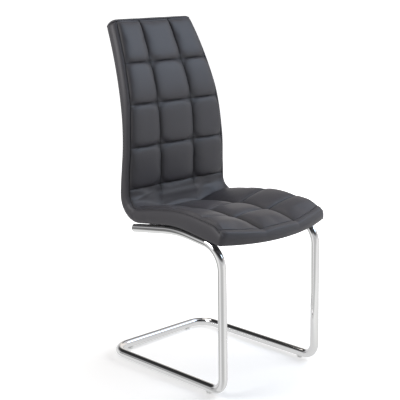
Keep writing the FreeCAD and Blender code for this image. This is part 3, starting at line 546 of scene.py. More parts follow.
# %% Leather material
SEAM_ROUGHNESS = 0.35
TONE_ROUGHNESS = 0.12
LEATHER_SHINE = 0.42
GRAIN_DEPTH = 0.0012
LEATHER_GREY = (0.060, 0.0575, 0.064, 1)


def leather_material(name, colour, roughness, bump, dark):
    """Grained leather: how rough it is on the whole, how deep its grain and how dark its painted seam shade.
    """
    material, shader = new_material(name)
    tree = material.node_tree
    grain = place_group(tree, leather_grain)
    shade = place_group(tree, painted_seam_shade, Colour=colour, Dark=dark)
    join(tree, grain.outputs["Tone"], shade.inputs["Tone"])
    join(tree, shade.outputs["Colour"], shader.inputs["Base Color"])
    rough = math_node(tree, "MULTIPLY", shade.outputs["Mask"], SEAM_ROUGHNESS)
    wander = math_node(tree, "MULTIPLY", grain.outputs["Tone"], TONE_ROUGHNESS)
    rough = math_node(tree, "ADD", rough, wander)
    least = roughness - MEAN_TONE * TONE_ROUGHNESS
    join(tree, math_node(tree, "ADD", rough, least), shader.inputs["Roughness"])
    add_dents(tree, grain.outputs["Height"], shader, bump, GRAIN_DEPTH)
    shader.inputs["Specular IOR Level"].default_value = LEATHER_SHINE
    return material


# The last number is how strong the painted seam shade is.
leather = leather_material("grey_leather", LEATHER_GREY, 0.44, 0.55, 0.85)
leather_side = leather_material("grey_leather_border", LEATHER_GREY, 0.48, 0.5, 0.5)
print("leather", leather.name, leather_side.name)

# %% [markdown]
# ## Soft marks
# Bare and plated metal is never evenly clean. One group gives a slow cloud of marks and
# fine specks. Each metal and each plastic uses them in its colour, its roughness and its
# dents, at its own strength.

# %% Marks group
FINE_HEIGHT = 0.3


def build_marks():
    """Slow cloud, fine specks, and the height of the specks."""
    group, start, end = new_group(
        "soft_marks",
        [("Cloud Scale", "NodeSocketFloat", 9.0), ("Fine Scale", "NodeSocketFloat", 260.0)],
        [("Cloud", "NodeSocketFloat"), ("Fine", "NodeSocketFloat"), ("Height", "NodeSocketFloat")],
    )
    where = group.nodes.new("ShaderNodeTexCoord")
    cloud = add_node(group, "ShaderNodeTexNoise", Detail=4.0, Roughness=0.6)
    fine = add_node(group, "ShaderNodeTexNoise", Detail=2.0, Roughness=0.5)
    for node, scale in ((cloud, "Cloud Scale"), (fine, "Fine Scale")):
        join(group, where.outputs["Object"], node.inputs["Vector"])
        join(group, start.outputs[scale], node.inputs["Scale"])
    join(group, cloud.outputs["Fac"], end.inputs["Cloud"])
    join(group, fine.outputs["Fac"], end.inputs["Fine"])
    join(group, math_node(group, "MULTIPLY", fine.outputs["Fac"], FINE_HEIGHT), end.inputs["Height"])
    return group


soft_marks = build_marks()
print("marks sockets", [socket.name for socket in soft_marks.interface.items_tree])

# %% [markdown]
# ## Metals, plastic and rubber
# The two tubes are chromed to a mirror, with only a trace of haze. The rails inside the
# shell stay bare, the braces are powder coated black, and the screws are zinc plated, as is
# usual where nobody looks. One function makes them all from two colours and four numbers.

# %% Hard finishes
SPECK_DEPTH = 0.0004


def marked_material(name, dark, light, roughness, metallic, swing, bump):
    """Hard finish whose colour and roughness wander between two values."""
    material, shader = new_material(name)
    tree = material.node_tree
    marks = place_group(tree, soft_marks)
    join(tree, blend(tree, marks.outputs["Cloud"], dark, light), shader.inputs["Base Color"])
    rough = math_node(tree, "MULTIPLY", marks.outputs["Cloud"], swing)
    join(tree, math_node(tree, "ADD", rough, roughness), shader.inputs["Roughness"])
    shader.inputs["Metallic"].default_value = metallic
    add_dents(tree, marks.outputs["Height"], shader, bump, SPECK_DEPTH)
    return material


chrome = marked_material(
    "chrome_tube", (0.80, 0.80, 0.81, 1), (0.90, 0.90, 0.90, 1), 0.03, 1.0, 0.05, 0.02)
bare_steel = marked_material(
    "bare_steel", (0.30, 0.29, 0.28, 1), (0.46, 0.45, 0.44, 1), 0.32, 1.0, 0.2, 0.2)
black_steel = marked_material(
    "black_steel", (0.012, 0.012, 0.013, 1), (0.03, 0.03, 0.031, 1), 0.35, 0.0, 0.2, 0.25)
zinc = marked_material(
    "zinc_fixing", (0.55, 0.56, 0.58, 1), (0.72, 0.73, 0.74, 1), 0.25, 1.0, 0.2, 0.15)
black_plastic = marked_material(
    "black_plastic", (0.014, 0.014, 0.015, 1), (0.028, 0.028, 0.03, 1), 0.38, 0.0, 0.15, 0.3)
black_rubber = marked_material(
    "black_rubber", (0.012, 0.012, 0.012, 1), (0.03, 0.03, 0.03, 1), 0.62, 0.0, 0.2, 0.4)
print("metals and plastics", chrome.name, zinc.name, black_plastic.name)

# %% [markdown]
# ## Woven cloth, foam and the glides
# The dust cover and the webbing are plain weaves, which two crossed waves draw. Foam is a
# sponge of small cells. The glides are milky plastic, so some light passes through them.

# %% Weave, foam and glide materials
def build_weave():
    """Height of a plain weave: two waves across each other, the higher one on top."""
    group, start, end = new_group(
        "plain_weave",
        [("Threads", "NodeSocketFloat", 500.0)],
        [("Height", "NodeSocketFloat")],
    )
    where = group.nodes.new("ShaderNodeTexCoord")
    heights = []
    for direction in ("X", "Y"):
        wave = add_node(group, "ShaderNodeTexWave", bands_direction=direction, Distortion=0.4)
        join(group, where.outputs["Object"], wave.inputs["Vector"])
        join(group, start.outputs["Threads"], wave.inputs["Scale"])
        heights.append(wave.outputs["Fac"])
    join(group, math_node(group, "MAXIMUM", heights[0], heights[1]), end.inputs["Height"])
    return group


plain_weave = build_weave()


def woven_material(name, dark, light, threads):
    """Matt cloth, dark between the threads and light on them."""
    material, shader = new_material(name)
    tree = material.node_tree
    weave = place_group(tree, plain_weave, Threads=threads)
    join(tree, blend(tree, weave.outputs["Height"], dark, light), shader.inputs["Base Color"])
    shader.inputs["Roughness"].default_value = 0.85
    add_dents(tree, weave.outputs["Height"], shader, 0.5, 0.0005)
    return material


def foam_material():
    """Yellowish sponge, paler towards the rims of its cells."""
    material, shader = new_material("foam")
    tree = material.node_tree
    where = tree.nodes.new("ShaderNodeTexCoord")
    cells = add_node(tree, "ShaderNodeTexVoronoi", Scale=420.0)
    join(tree, where.outputs["Object"], cells.inputs["Vector"])
    ramp = tree.nodes.new("ShaderNodeValToRGB")
    ramp.color_ramp.elements[0].color = (0.72, 0.66, 0.42, 1)
    ramp.color_ramp.elements[1].color = (0.86, 0.81, 0.60, 1)
    join(tree, cells.outputs["Distance"], ramp.inputs["Fac"])
    join(tree, ramp.outputs["Color"], shader.inputs["Base Color"])
    shader.inputs["Roughness"].default_value = 0.95
    add_dents(tree, cells.outputs["Distance"], shader, 0.6, 0.001)
    return material


def glide_material():
    """Milky clear plastic with a wandering haze."""
    material, shader = new_material("clear_glide")
    tree = material.node_tree
    marks = place_group(tree, soft_marks)
    rough = math_node(tree, "MULTIPLY", marks.outputs["Cloud"], 0.2)
    join(tree, math_node(tree, "ADD", rough, 0.25), shader.inputs["Roughness"])
    milk = blend(tree, marks.outputs["Fine"], (0.82, 0.83, 0.82, 1), (0.92, 0.92, 0.91, 1))
    join(tree, milk, shader.inputs["Base Color"])
    shader.inputs["Transmission Weight"].default_value = 0.6
    shader.inputs["IOR"].default_value = 1.45
    return material


dust_cloth = woven_material("dust_cloth", (0.010, 0.010, 0.011, 1), (0.035, 0.035, 0.037, 1), 520.0)
webbing = woven_material("webbing", (0.16, 0.13, 0.10, 1), (0.30, 0.26, 0.21, 1), 300.0)
foam = foam_material()
clear_glide = glide_material()
print("soft materials", dust_cloth.name, webbing.name, foam.name, clear_glide.name)

# %% [markdown]
# ## Finishes of the hidden parts
# Rails, strips, webbing, foam and fixings sit inside the shell or under it. Their solids
# have the right shape already, so they keep their mesh and only get their finish. The
# mounting tabs are welded to the tubes before these are plated, so they are chromed too.

# %% Dress the carried-over nodes
NODE_FINISH = {
    "joining_sleeve": bare_steel, "front_seat_brace": black_steel, "rear_seat_brace": black_steel,
    "seat_bolts": zinc, "bolt_washers": zinc, "mounting_tabs": chrome, "seat_spacers": black_rubber,
    "weld_nuts": zinc, "inner_rail_right": bare_steel, "inner_rail_left": bare_steel,
    "top_rail": bare_steel, "lumbar_rail": bare_steel, "front_mounting_strip": bare_steel,
    "rear_mounting_strip": bare_steel, "back_webbing": webbing, "seat_webbing": webbing,
    "back_foam": foam, "seat_foam": foam, "edge_foam_right": foam, "edge_foam_left": foam,
    "cover_staples": zinc,
}


def give_finish(piece, material):
    """Makes a material the only one of a piece."""
    piece.data.materials.clear()
    piece.data.materials.append(material)


for node_name, finish in NODE_FINISH.items():
    give_finish(bpy.data.objects[node_name], finish)
print("nodes dressed", len(NODE_FINISH))

# %% [markdown]
# ## The sole line
# Seen from the side, the shell follows one line of straight runs and arcs: up over the arms,
# down to the corner, and up the back with its lumbar curve. It is drawn with the same sizes
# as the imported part, in millimetres and degrees, so each cover lies where its solid lies. A
# station s is a length along this line, from the seat's front edge to the top.

# %% Sole line
SLOPE = math.radians(7.5)
ARM_PEAK_Y = 171.0
ARM_PEAK_HEIGHT = 443.0
ARM_BEND_R, ARM_TURN = 400.0, -15.0
SOLE_OFFSET = 14.5
SHELL_FRONT = -15.0
CORNER_START = 331.0
CORNER_R, CORNER_TURN = 73.0, 102.0
LUMBAR_RUN = 90.0
LUMBAR_R, LUMBAR_TURN = 456.0, -17.8
UPPER_R, UPPER_TURN = 900.0, -16.4
CREASE_TURN = 27.5


def draw_sole():
    """Parts of the sole line: start, radius or 0, turn, start point, heading; and its length."""
    bend_r = ARM_BEND_R + SOLE_OFFSET
    reach = bend_r * math.sin(SLOPE)
    run_front = (ARM_PEAK_Y - reach - SHELL_FRONT) / math.cos(SLOPE)
    run_rear = (CORNER_START - ARM_PEAK_Y - reach) / math.cos(SLOPE)
    top = ARM_PEAK_HEIGHT - ARM_BEND_R * (1 / math.cos(SLOPE) - 1) + SOLE_OFFSET
    z = top - bend_r * (1 - math.cos(SLOPE)) - run_front * math.cos(SLOPE) * math.tan(SLOPE)
    y = SHELL_FRONT
    heading = SLOPE
    parts = []
    start = 0.0
    runs = [
        (run_front, 0, 0), (0, bend_r, ARM_TURN), (run_rear, 0, 0), (0, CORNER_R, CORNER_TURN),
        (LUMBAR_RUN, 0, 0), (0, LUMBAR_R, LUMBAR_TURN), (0, UPPER_R, UPPER_TURN),
    ]
    for length, radius, turn in runs:
        parts.append((start, radius, turn, y, z, heading))
        if radius:
            length = abs(radius * math.radians(turn))
            side = math.copysign(1.0, turn)
            centre_y = y - side * radius * math.sin(heading)
            centre_z = z + side * radius * math.cos(heading)
            heading += math.radians(turn)
            y = centre_y + side * radius * math.sin(heading)
            z = centre_z - side * radius * math.cos(heading)
        else:
            y += length * math.cos(heading)
            z += length * math.sin(heading)
        start += length
    return parts, start


SOLE, SOLE_LENGTH = draw_sole()
S_CORNER = SOLE[3][0]
S_LUMBAR = SOLE[4][0]
S_UPPER = SOLE[6][0]
S_CREASE = S_CORNER + CORNER_R * math.radians(CREASE_TURN)


def sole_at(s):
    """Drawn point of the sole line and its heading at station s."""
    part = SOLE[0]
    for candidate in SOLE:
        if s >= candidate[0]:
            part = candidate
    start, radius, turn, y, z, heading = part
    run = s - start
    if not radius:
        return y + run * math.cos(heading), z + run * math.sin(heading), heading
    side = math.copysign(1.0, turn)
    now = heading + side * run / radius
    centre_y = y - side * radius * math.sin(heading)
    centre_z = z + side * radius * math.cos(heading)
    return centre_y + side * radius * math.sin(now), centre_z - side * radius * math.cos(now), now


def over_sole(s, x, n):
    """Drawn point x across and n over the sole line at station s."""
    y, z, heading = sole_at(s)
    return x, y - n * math.sin(heading), z + n * math.cos(heading)


print("sole line", round(SOLE_LENGTH), "mm long, crease at", round(S_CREASE))

# %% [markdown]
# ## Widths and thicknesses
# The seat narrows towards the back, and the back narrows to its top. The shell is thinnest
# at the waist. These few functions say how wide and how thick it is at each station, and
# where the upper seams lie, which are drawn in a little from the lower ones.

# %% Widths and thicknesses
SEAT_FRONT_HALF = 212.0
SEAT_REAR_HALF = 196.0
LUMBAR_HALF = 192.0
TOP_HALF = 144.5
TOP_CORNER_R = 9.0
WIDTH_EASE = 1.5
BORDER_T = 3.0
GAP = 0.3
SEAM_IN_FRONT = 8.5
SEAM_IN_LEAST = 0.8
FRONT_EDGE = 34.0
CREASE_EDGE = 41.0
EDGES = [
    (0.0, FRONT_EDGE), (48.0, 46.5), (105.0, 46.5), (S_CORNER - 110.0, 42.0), (S_CREASE, CREASE_EDGE),
    (S_LUMBAR + LUMBAR_RUN, 31.0), (S_LUMBAR + 150.0, 31.0), (S_UPPER + 60.0, 42.0), (SOLE_LENGTH, 44.0),
]


def edge_height(s):
    """Height of the border: how far the upper seam lies over the sole line."""
    return follow(s, EDGES)


def seat_half(y):
    """Half width of the seat's lower seams at drawn y."""
    u = (y - SHELL_FRONT) / (sole_at(S_CORNER)[0] - SHELL_FRONT)
    return SEAT_FRONT_HALF + (SEAT_REAR_HALF - SEAT_FRONT_HALF) * u


def half_width(s):
    """Half width of the shell at its lower seams."""
    if s <= S_CORNER:
        return seat_half(max(SHELL_FRONT, sole_at(s)[0]))
    if s <= S_LUMBAR:
        return follow(s, [(S_CORNER, SEAT_REAR_HALF), (S_LUMBAR, LUMBAR_HALF)])
    u = (s - S_LUMBAR) / (SOLE_LENGTH - S_LUMBAR)
    width = LUMBAR_HALF + (TOP_HALF - LUMBAR_HALF) * u ** WIDTH_EASE
    left = max(0.0, SOLE_LENGTH - s)
    if left < TOP_CORNER_R:
        width -= TOP_CORNER_R - math.sqrt(TOP_CORNER_R ** 2 - (TOP_CORNER_R - left) ** 2)
    return width


def seam_half(y):
    """Half width of the seat at its upper seams."""
    rear_y = over_sole(S_CREASE, 0, CREASE_EDGE)[1]
    front = SEAT_FRONT_HALF - SEAM_IN_FRONT
    rear = half_width(S_CREASE) - SEAM_IN_LEAST
    return front + (rear - front) * (y - SHELL_FRONT) / (rear_y - SHELL_FRONT)


def seam_inset(s):
    """How far the upper seam lies inside the lower one."""
    if s >= S_CREASE:
        return SEAM_IN_LEAST
    return half_width(s) - seam_half(over_sole(s, 0, edge_height(s))[1])


print("half width at the crease", round(half_width(S_CREASE), 1))

# %% [markdown]
# ## Padded panels from a bent sheet
# A quilted panel is a sheet of leather over foam, sewn through along lines. In Blender it
# could be sculpted, but a grid whose lines follow the seams is easier to control. The grid
# is bent onto the shell and blown up like a cushion by the cloth simulation, while the sewn
# lines and the rim are held. Then it is closed at the back.

# %% Grids close to the seams
SEAM_STEPS = (0.0, 1.3, 3.2, 6.5)


def lines_between(low, high, spacing):
    """Grid lines from one seam to the next, crowded at both ends."""
    ends = [step for step in SEAM_STEPS if step < (high - low) / 3]
    first = [low + step for step in ends]
    last = [high - step for step in reversed(ends)]
    inner = last[0] - first[-1]
    count = max(1, round(inner / spacing))
    middle = [first[-1] + inner * i / count for i in range(1, count)]
    return first + middle + last


def grid_lines(seams, spacing):
    """All grid lines over a row of seams."""
    lines = [seams[0]]
    for low, high in zip(seams[:-1], seams[1:]):
        lines += lines_between(low, high, spacing)[1:]
    return lines


def link(name, bm):
    """Object from a bmesh, at the origin."""
    mesh = bpy.data.meshes.new(name)
    bm.to_mesh(mesh)
    bm.free()
    piece = bpy.data.objects.new(name, mesh)
    bpy.context.scene.collection.objects.link(piece)
    return piece


def sheet_piece(name, columns, rows, point):
    """Grid whose vertices lie at point(column, row), and the column and row of each of them."""
    bm = bmesh.new()
    made = bmesh.ops.create_grid(bm, x_segments=len(columns) - 1, y_segments=len(rows) - 1, size=1)
    bm.verts.index_update()
    order = {}
    for vertex in made["verts"]:
        i = round((vertex.co.x + 1) / 2 * (len(columns) - 1))
        j = round((vertex.co.y + 1) / 2 * (len(rows) - 1))
        order[vertex.index] = (i, j)
        vertex.co = place(*point(columns[i], rows[j]))
    return link(name, bm), order


print("grid lines between two seams", len(lines_between(0, 120, 6)))

# %% [markdown]
# ## The quilted back
# Three columns and four rows of pillows stand over a smooth lower field. The cross seams
# pull the cover in, and the two channels run down and fade out above the crease. Over the
# upper rows the channels draw together, as the back grows narrower.

# %% Back panel sizes
CHANNEL_X = 66.0
CHANNEL_DRAW = 10.0
BACK_ROW_HEIGHTS = (525.0, 646.0, 768.0, 883.0)
SEAM_DEPTH = 35.0
TOP_SEAM_DROP = 9.0
COLUMN_DIP = 3.5
ROW_DIP = 2.5
SEWN_AT_CREASE = 18.0
DEPTH_RUN = 70.0
COLUMN_SHAPE = 3.5
ROW_SHAPE = 5


def station_of_height(z, depth):
    """Station of the back where a point that lies depth over the sole line reaches height z."""
    low, high = S_CORNER, SOLE_LENGTH
    while high - low > 0.01:
        middle = (low + high) / 2
        if over_sole(middle, 0, depth)[2] < z:
            low = middle
        else:
            high = middle
    return low


BACK_SEAMS = [S_CREASE]
BACK_SEAMS += [station_of_height(z, SEAM_DEPTH) for z in BACK_ROW_HEIGHTS]
BACK_SEAMS += [SOLE_LENGTH - TOP_SEAM_DROP]


def back_depth(s):
    """Thickness of the back along its channels, which sinks to the dish of the seat."""
    high = edge_height(s) - COLUMN_DIP
    return SEWN_AT_CREASE + (high - SEWN_AT_CREASE) * ease((s - S_CREASE) / DEPTH_RUN)


def inside_borders(s):
    """Half width between the two side borders."""
    return half_width(s) - SEAM_IN_LEAST - BORDER_T - 2 * GAP


def channel_x(s):
    """Half distance between the two channels, which draw together over the upper rows."""
    return CHANNEL_X - CHANNEL_DRAW * clamp((s - BACK_SEAMS[3]) / (BACK_SEAMS[-1] - BACK_SEAMS[3]))


def fullness(u, shape):
    """0 at both seams of a pillow and 1 in its middle."""
    return 1 - abs(2 * clamp(u) - 1) ** shape


def swell(u, shape=COLUMN_SHAPE):
    """Like fullness, but it rises steeply from the seams, as blown leather does."""
    return math.sqrt(max(0.0, fullness(u, shape)))


def pillow(across, up):
    """Height of a pillow whose corners are drawn in, from 0 on its seams to 1 in its middle."""
    square = 1 - abs(2 * clamp(across) - 1) ** COLUMN_SHAPE - abs(2 * clamp(up) - 1) ** ROW_SHAPE
    return math.sqrt(max(0.0, square))


def groove(distance, width):
    """1 on a line and 0 well beside it."""
    return math.exp(-(distance / width) ** 2)


print("back seams at", [round(s) for s in BACK_SEAMS])

# %% [markdown]
# Places across the back run from -3 to 3: 1 is a channel and 3 the rim. A point's height is
# the sewn depth plus the pillow's crown, and the rim rolls over to meet the side border. The
# top row is flatter, because the leather there is pulled over the upper edge. The smooth
# field at the bottom has a few soft folds, where the cover turns to the seat.

# %% Back panel surface
NEAR_SEAM = (0.0, 0.02, 0.05, 0.10)
BACK_CROWN = 8.0
LOW_CROWN = 0.5
TOP_FULL = 0.25
TOP_ROW_SHAPE = 8.0
TOP_ROW_FROM = 0.5
CHANNEL_FADE = 0.6
RIM_ROLL = 1.0
ROLL_SIZE = 3.0
DIP_SIZE = 4.0
FOAM_TOP = 12.0
PAD = 9.0
LOW_FOLDS = [
    ((-2.9, 0.50), (-1.1, 0.92), 0.08, 1.6), ((-2.9, 0.12), (-0.9, 0.24), 0.06, 0.9),
    ((0.9, 0.90), (2.8, 0.66), 0.07, 1.0), ((1.4, 0.50), (2.9, 0.34), 0.07, 0.8),
]


def share_lines(spacing_count):
    """Places across the back, crowded at the two channels and at the rims."""
    out = []
    for low, high in ((-3.0, -1.0), (-1.0, 1.0), (1.0, 3.0)):
        first = [low + n * 2 for n in NEAR_SEAM]
        last = [high - n * 2 for n in reversed(NEAR_SEAM)]
        inner = last[0] - first[-1]
        middle = [first[-1] + inner * i / spacing_count for i in range(1, spacing_count)]
        out += (first if not out else first[1:]) + middle + last
    return out


def across_back(u, s):
    """Drawn x for the place u, where 1 is a channel and 3 the rim."""
    side = math.copysign(1.0, u)
    u = abs(u)
    channel = channel_x(s)
    if u <= 1:
        return side * u * channel
    return side * (channel + (u - 1) / 2 * (inside_borders(s) - channel))


def back_row_of(s):
    """Row of pillows at a station, 0 for the lower field, and the share of the way up in it."""
    for i in range(len(BACK_SEAMS) - 1):
        if s <= BACK_SEAMS[i + 1]:
            return i, (s - BACK_SEAMS[i]) / (BACK_SEAMS[i + 1] - BACK_SEAMS[i])
    return len(BACK_SEAMS) - 2, 1.0


def low_folds(u, up):
    """Soft folds in the lower field, each given by its line's ends, its width and its height."""
    rise = 0.0
    for (u0, up0), (u1, up1), width, height in LOW_FOLDS:
        along = clamp((u - u0) / (u1 - u0))
        off = up - (up0 + (up1 - up0) * along)
        rise += height * groove(off, width) * math.sin(math.pi * clamp(0.08 + 0.84 * along))
    return rise * fullness(up, 8.0)


def on_cross_seam(s):
    """1 on a cross seam and 0 a few millimetres off it."""
    return groove(min(abs(s - seam) for seam in BACK_SEAMS[1:-1]), DIP_SIZE)


def roll(a, s):
    """Drop of the cover where it rolls over the rim, next to the border."""
    left = (3 - a) / 2 * (inside_borders(s) - channel_x(s))
    return RIM_ROLL * groove(left, ROLL_SIZE)


def back_point(u, s):
    """Drawn point of the back's cover at place u and station s."""
    row, up = back_row_of(s)
    sewn = back_depth(s)
    a = abs(u)
    across = (u + 1) / 2 if a <= 1 else (a - 1) / 2
    rise = 0.0 if a <= 1 else (edge_height(s) - sewn) * ease(across)
    column = swell(across)
    if row == 0:
        column = 1 - (1 - column) * ease((up - CHANNEL_FADE) / (1 - CHANNEL_FADE))
        bulge = LOW_CROWN * column * fullness(up, 2.2) + low_folds(u, up)
    elif row == 4 and up > TOP_ROW_FROM:
        column += (swell(across, TOP_ROW_SHAPE) - column) * ease((up - TOP_ROW_FROM) / 0.3)
        bulge = BACK_CROWN * column * (TOP_FULL + (1 - TOP_FULL) * swell(up, ROW_SHAPE))
    else:
        bulge = BACK_CROWN * pillow(across, up)
    dip = ROW_DIP * on_cross_seam(s)
    return over_sole(s, across_back(u, s), sewn + rise + bulge - dip - roll(a, s))


def back_floor(u, s):
    """Point of the pad's underside, which lies on the foam."""
    low = FOAM_TOP + (edge_height(s) - PAD - FOAM_TOP) * ease((s - S_CREASE) / DEPTH_RUN)
    return over_sole(s, across_back(u, s), low)


back_columns = share_lines(9)
top_lines = [SOLE_LENGTH - 6.5, SOLE_LENGTH - 4.5, SOLE_LENGTH - BORDER_T - GAP]
back_rows = grid_lines(BACK_SEAMS, 7.0) + top_lines
print("back sheet", len(back_columns), "by", len(back_rows), "lines")

# %% [markdown]
# ## Blowing up a pillow
# The helper takes a sheet, holds its rim and its seams, and lets air pressure push the rest
# out with a little spare leather, which makes the small puckers beside the seams. Blender
# counts shrinking, so a value below zero lets the cover grow. Each point may move only so
# far, which keeps the drawn pillows and leaves the folds to the simulation.

# %% Cloth helper
PRESSURE = 1.5
SPARE_LEATHER = -0.006
CLOTH_FRAMES = 20
MOST_MOVE = 0.003


def blow_up(piece, held, cap):
    """Cloth simulation with pressure, on everything but the held points."""
    pins = piece.vertex_groups.new(name="sewn")
    pins.add(held, 1.0, "REPLACE")
    before = [vertex.co.copy() for vertex in piece.data.vertices]
    cloth = piece.modifiers.new("cloth", "CLOTH")
    settings = cloth.settings
    settings.quality = 6
    settings.mass = 0.4
    settings.tension_stiffness = 25
    settings.compression_stiffness = 25
    settings.shear_stiffness = 12
    settings.bending_stiffness = 6.0
    settings.use_pressure = True
    settings.uniform_pressure_force = PRESSURE
    settings.shrink_min = SPARE_LEATHER
    settings.vertex_group_mass = "sewn"
    settings.pin_stiffness = 1.0
    settings.effector_weights.gravity = 0.0
    cloth.collision_settings.use_collision = False
    scene = bpy.context.scene
    for number in range(1, CLOTH_FRAMES + 1):
        scene.frame_set(number)
    shaped = piece.evaluated_get(bpy.context.evaluated_depsgraph_get())
    after = [vertex.co.copy() for vertex in shaped.data.vertices]
    piece.modifiers.remove(cloth)
    moved = 0.0
    for vertex, start, end in zip(piece.data.vertices, before, after):
        step = end - start
        if step.length > cap:
            step = step * (cap / step.length)
        moved = max(moved, step.length)
        vertex.co = start + step
    piece.vertex_groups.clear()
    scene.frame_set(1)
    return moved


print("pressure", PRESSURE, "spare leather", SPARE_LEATHER)

# %% [markdown]
# ## Closing a pad
# A pad's underside lies on the foam. The sheet is copied and pressed down to a floor, and
# the two rims are bridged, so the pad is one closed form. Each point keeps a number for the
# leather's painted shade, which is highest in and beside the seams.

# %% Pad helpers
# painted shade on the pad's underside and its rim
UNDER_PAINTED_SHADE = 0.3


def close_pad(bm, places, columns, rows, floor_point):
    """Adds the underside and the rim to a sheet."""
    copied = bmesh.ops.duplicate(bm, geom=bm.verts[:] + bm.edges[:] + bm.faces[:])
    pairs = [(old, new) for old, new in copied["vert_map"].items() if old in places]
    for old, new in pairs:
        i, j = places[old]
        new.co = place(*floor_point(columns[i], rows[j]))
    under = [face for face in copied["geom"] if isinstance(face, bmesh.types.BMFace)]
    bmesh.ops.reverse_faces(bm, faces=under)
    rims = [edge for edge in bm.edges if edge.is_boundary]
    bmesh.ops.bridge_loops(bm, edges=rims)
    bmesh.ops.recalc_face_normals(bm, faces=bm.faces[:])


def write_painted_shade(piece, closeness):
    """Stores each point's painted shade, highest in and beside the seams, for the leather's colour."""
    layer = piece.data.attributes.new("seam", "FLOAT", "POINT")
    for index in range(len(piece.data.vertices)):
        layer.data[index].value = closeness(index)


def make_panel(name, columns, rows, point, floor_point, look):
    """Quilted pad. For each place, look tells whether it is sewn down and how much shade is painted on it."""
    piece, order = sheet_piece(name, columns, rows, point)
    places = [order[index] for index in range(len(order))]
    looks = [look(columns[i], rows[j]) for i, j in places]
    held = [index for index in range(len(looks)) if looks[index][0]]
    print(name, "moved", round(blow_up(piece, held, MOST_MOVE), 4))
    bm = bmesh.new()
    bm.from_mesh(piece.data)
    close_pad(bm, dict(zip(bm.verts, places)), columns, rows, floor_point)
    bm.to_mesh(piece.data)
    bm.free()
    write_painted_shade(piece, lambda index: looks[index][1] if index < len(looks) else UNDER_PAINTED_SHADE)
    return piece


print("a point may move", MOST_MOVE * 1000, "mm")

# %% [markdown]
# ## Sewing the back
# The rim, the channels above the lower field and the cross seams are sewn down, and shade is
# painted along them. A channel is a deep groove, painted dark with soft painted shade on both
# sides, a cross seam gets a thinner and paler line, and where the two meet the leather sinks
# in, with a dark spot of painted shade. Painted shade also lies in a band along the rim, and
# on the far side of the far channel.

# %% Make the quilted back
# Strength and width of the painted shade along channels, cross seams, crossings and beside the far channel.
CHANNEL_LINE, CHANNEL_SHADE = 2.6, 10.0
ROW_LINE, ROW_SHADE = 1.6, 8.0
CROSSING_PAINTED_SHADE, CROSSING_SIZE = 0.85, 11.0
FAR_PAINTED_SHADE, FAR_SHADE_WIDTH = 0.35, 20.0
CHANNEL_END = 0.55


def channel_painted_shade(distance, shade=0.5):
    """Painted shade of a sewn channel: a dark line, with soft shade on both its sides."""
    return max(groove(distance, CHANNEL_LINE), shade * groove(distance, CHANNEL_SHADE))


def row_painted_shade(distance):
    """Thinner and paler painted shade along a cross seam."""
    return max(0.8 * groove(distance, ROW_LINE), 0.2 * groove(distance, ROW_SHADE))


def back_look(u, s):
    """Whether a place of the back is sewn down, and how much shade is painted on it."""
    on_rim = abs(u) > 2.999 or s <= BACK_SEAMS[0] or s >= BACK_SEAMS[-1]
    on_channel = abs(abs(u) - 1) < 0.001 and s > BACK_SEAMS[1] - 1
    on_row = min(abs(s - seam) for seam in BACK_SEAMS) < 0.01
    x = abs(across_back(u, s))
    to_channel = abs(x - channel_x(s))
    to_rim = inside_borders(s) - x
    to_row = min(abs(s - seam) for seam in BACK_SEAMS[1:])
    to_crossing = min(abs(s - seam) for seam in BACK_SEAMS[1:-1])
    low_share = (s - BACK_SEAMS[0]) / (BACK_SEAMS[1] - BACK_SEAMS[0])
    fade = ease((low_share - CHANNEL_END) / (1 - CHANNEL_END))
    beside = 0.2 if s > BACK_SEAMS[4] else 0.5
    channel = channel_painted_shade(to_channel, beside) * fade
    cross = row_painted_shade(to_row) * (0.4 if abs(BACK_SEAMS[-1] - s) < 8 else 1.0)
    # painted shade in a band along the rim
    edge = max(0.35 * groove(to_rim, 2.0), 0.42 * groove(to_rim, 14.0))
    # painted shade where a channel meets a cross seam
    painted_crossing_shade = CROSSING_PAINTED_SHADE * groove(to_channel, CROSSING_SIZE) * groove(to_crossing, CROSSING_SIZE)
    # soft painted shade on the far side of the far channel
    far = u > 1 and s < BACK_SEAMS[4]
    broad_painted_shade = FAR_PAINTED_SHADE * groove(to_channel, FAR_SHADE_WIDTH) * fade if far else 0.0
    return on_rim or on_channel or on_row, max(channel, cross, edge, painted_crossing_shade, broad_painted_shade)


quilted_back = make_panel("quilted_back", back_columns, back_rows, back_point, back_floor, back_look)
print("quilted back", len(quilted_back.data.polygons), "faces")

# %% [markdown]
# ## The quilted seat
# The seat lies in a dish: two channels run from the crease to the front, and the outer
# pillows climb over the side rails to a crest. Two cross seams cut it into rows, and the
# front pillows go over the rounded nose down to the plain front border. Places across the
# seat count to 1 at a channel, 2 at the inside of the rail and 3 at the side seam. The
# length RIM_SCALE turns such a place beside the seam into millimetres.

# %% Seat sizes
SEAT_ROW_YS = (82.0, 190.0)
NOSE_BULGE = 37.0
NOSE_DEPTH = 24.0
CREST_DROP = 2.5
CREST_AT = 2.35
SHOULDER_IN = 25.0
ROW_END = CREST_AT + 0.3
DISH = [(-NOSE_BULGE, 26.0), (60.0, 27.0), (200.0, 18.0)]
SEAT_CROWN = 12.0
OUTER_CROWN = 7.0
NOSE_FULL = 0.30
NOSE_SWELL = 1.25
NOSE_FROM = 0.5
RIM_SCALE = 12.0
SEAT_DIP_SIZE = 5.0
DIP_UNTIL = 1.5
LIFT_SHAPE = 2.2
RAIL_FROM, RAIL_TOP = 1.98, 20.1
FRONT_FLOOR, FRONT_FLOOR_END = 3.0, 24.0


def nose_station(x):
    """Station of the seat's bowed front edge at drawn x."""
    return -NOSE_BULGE * (1 - (x / SEAT_FRONT_HALF) ** 2)


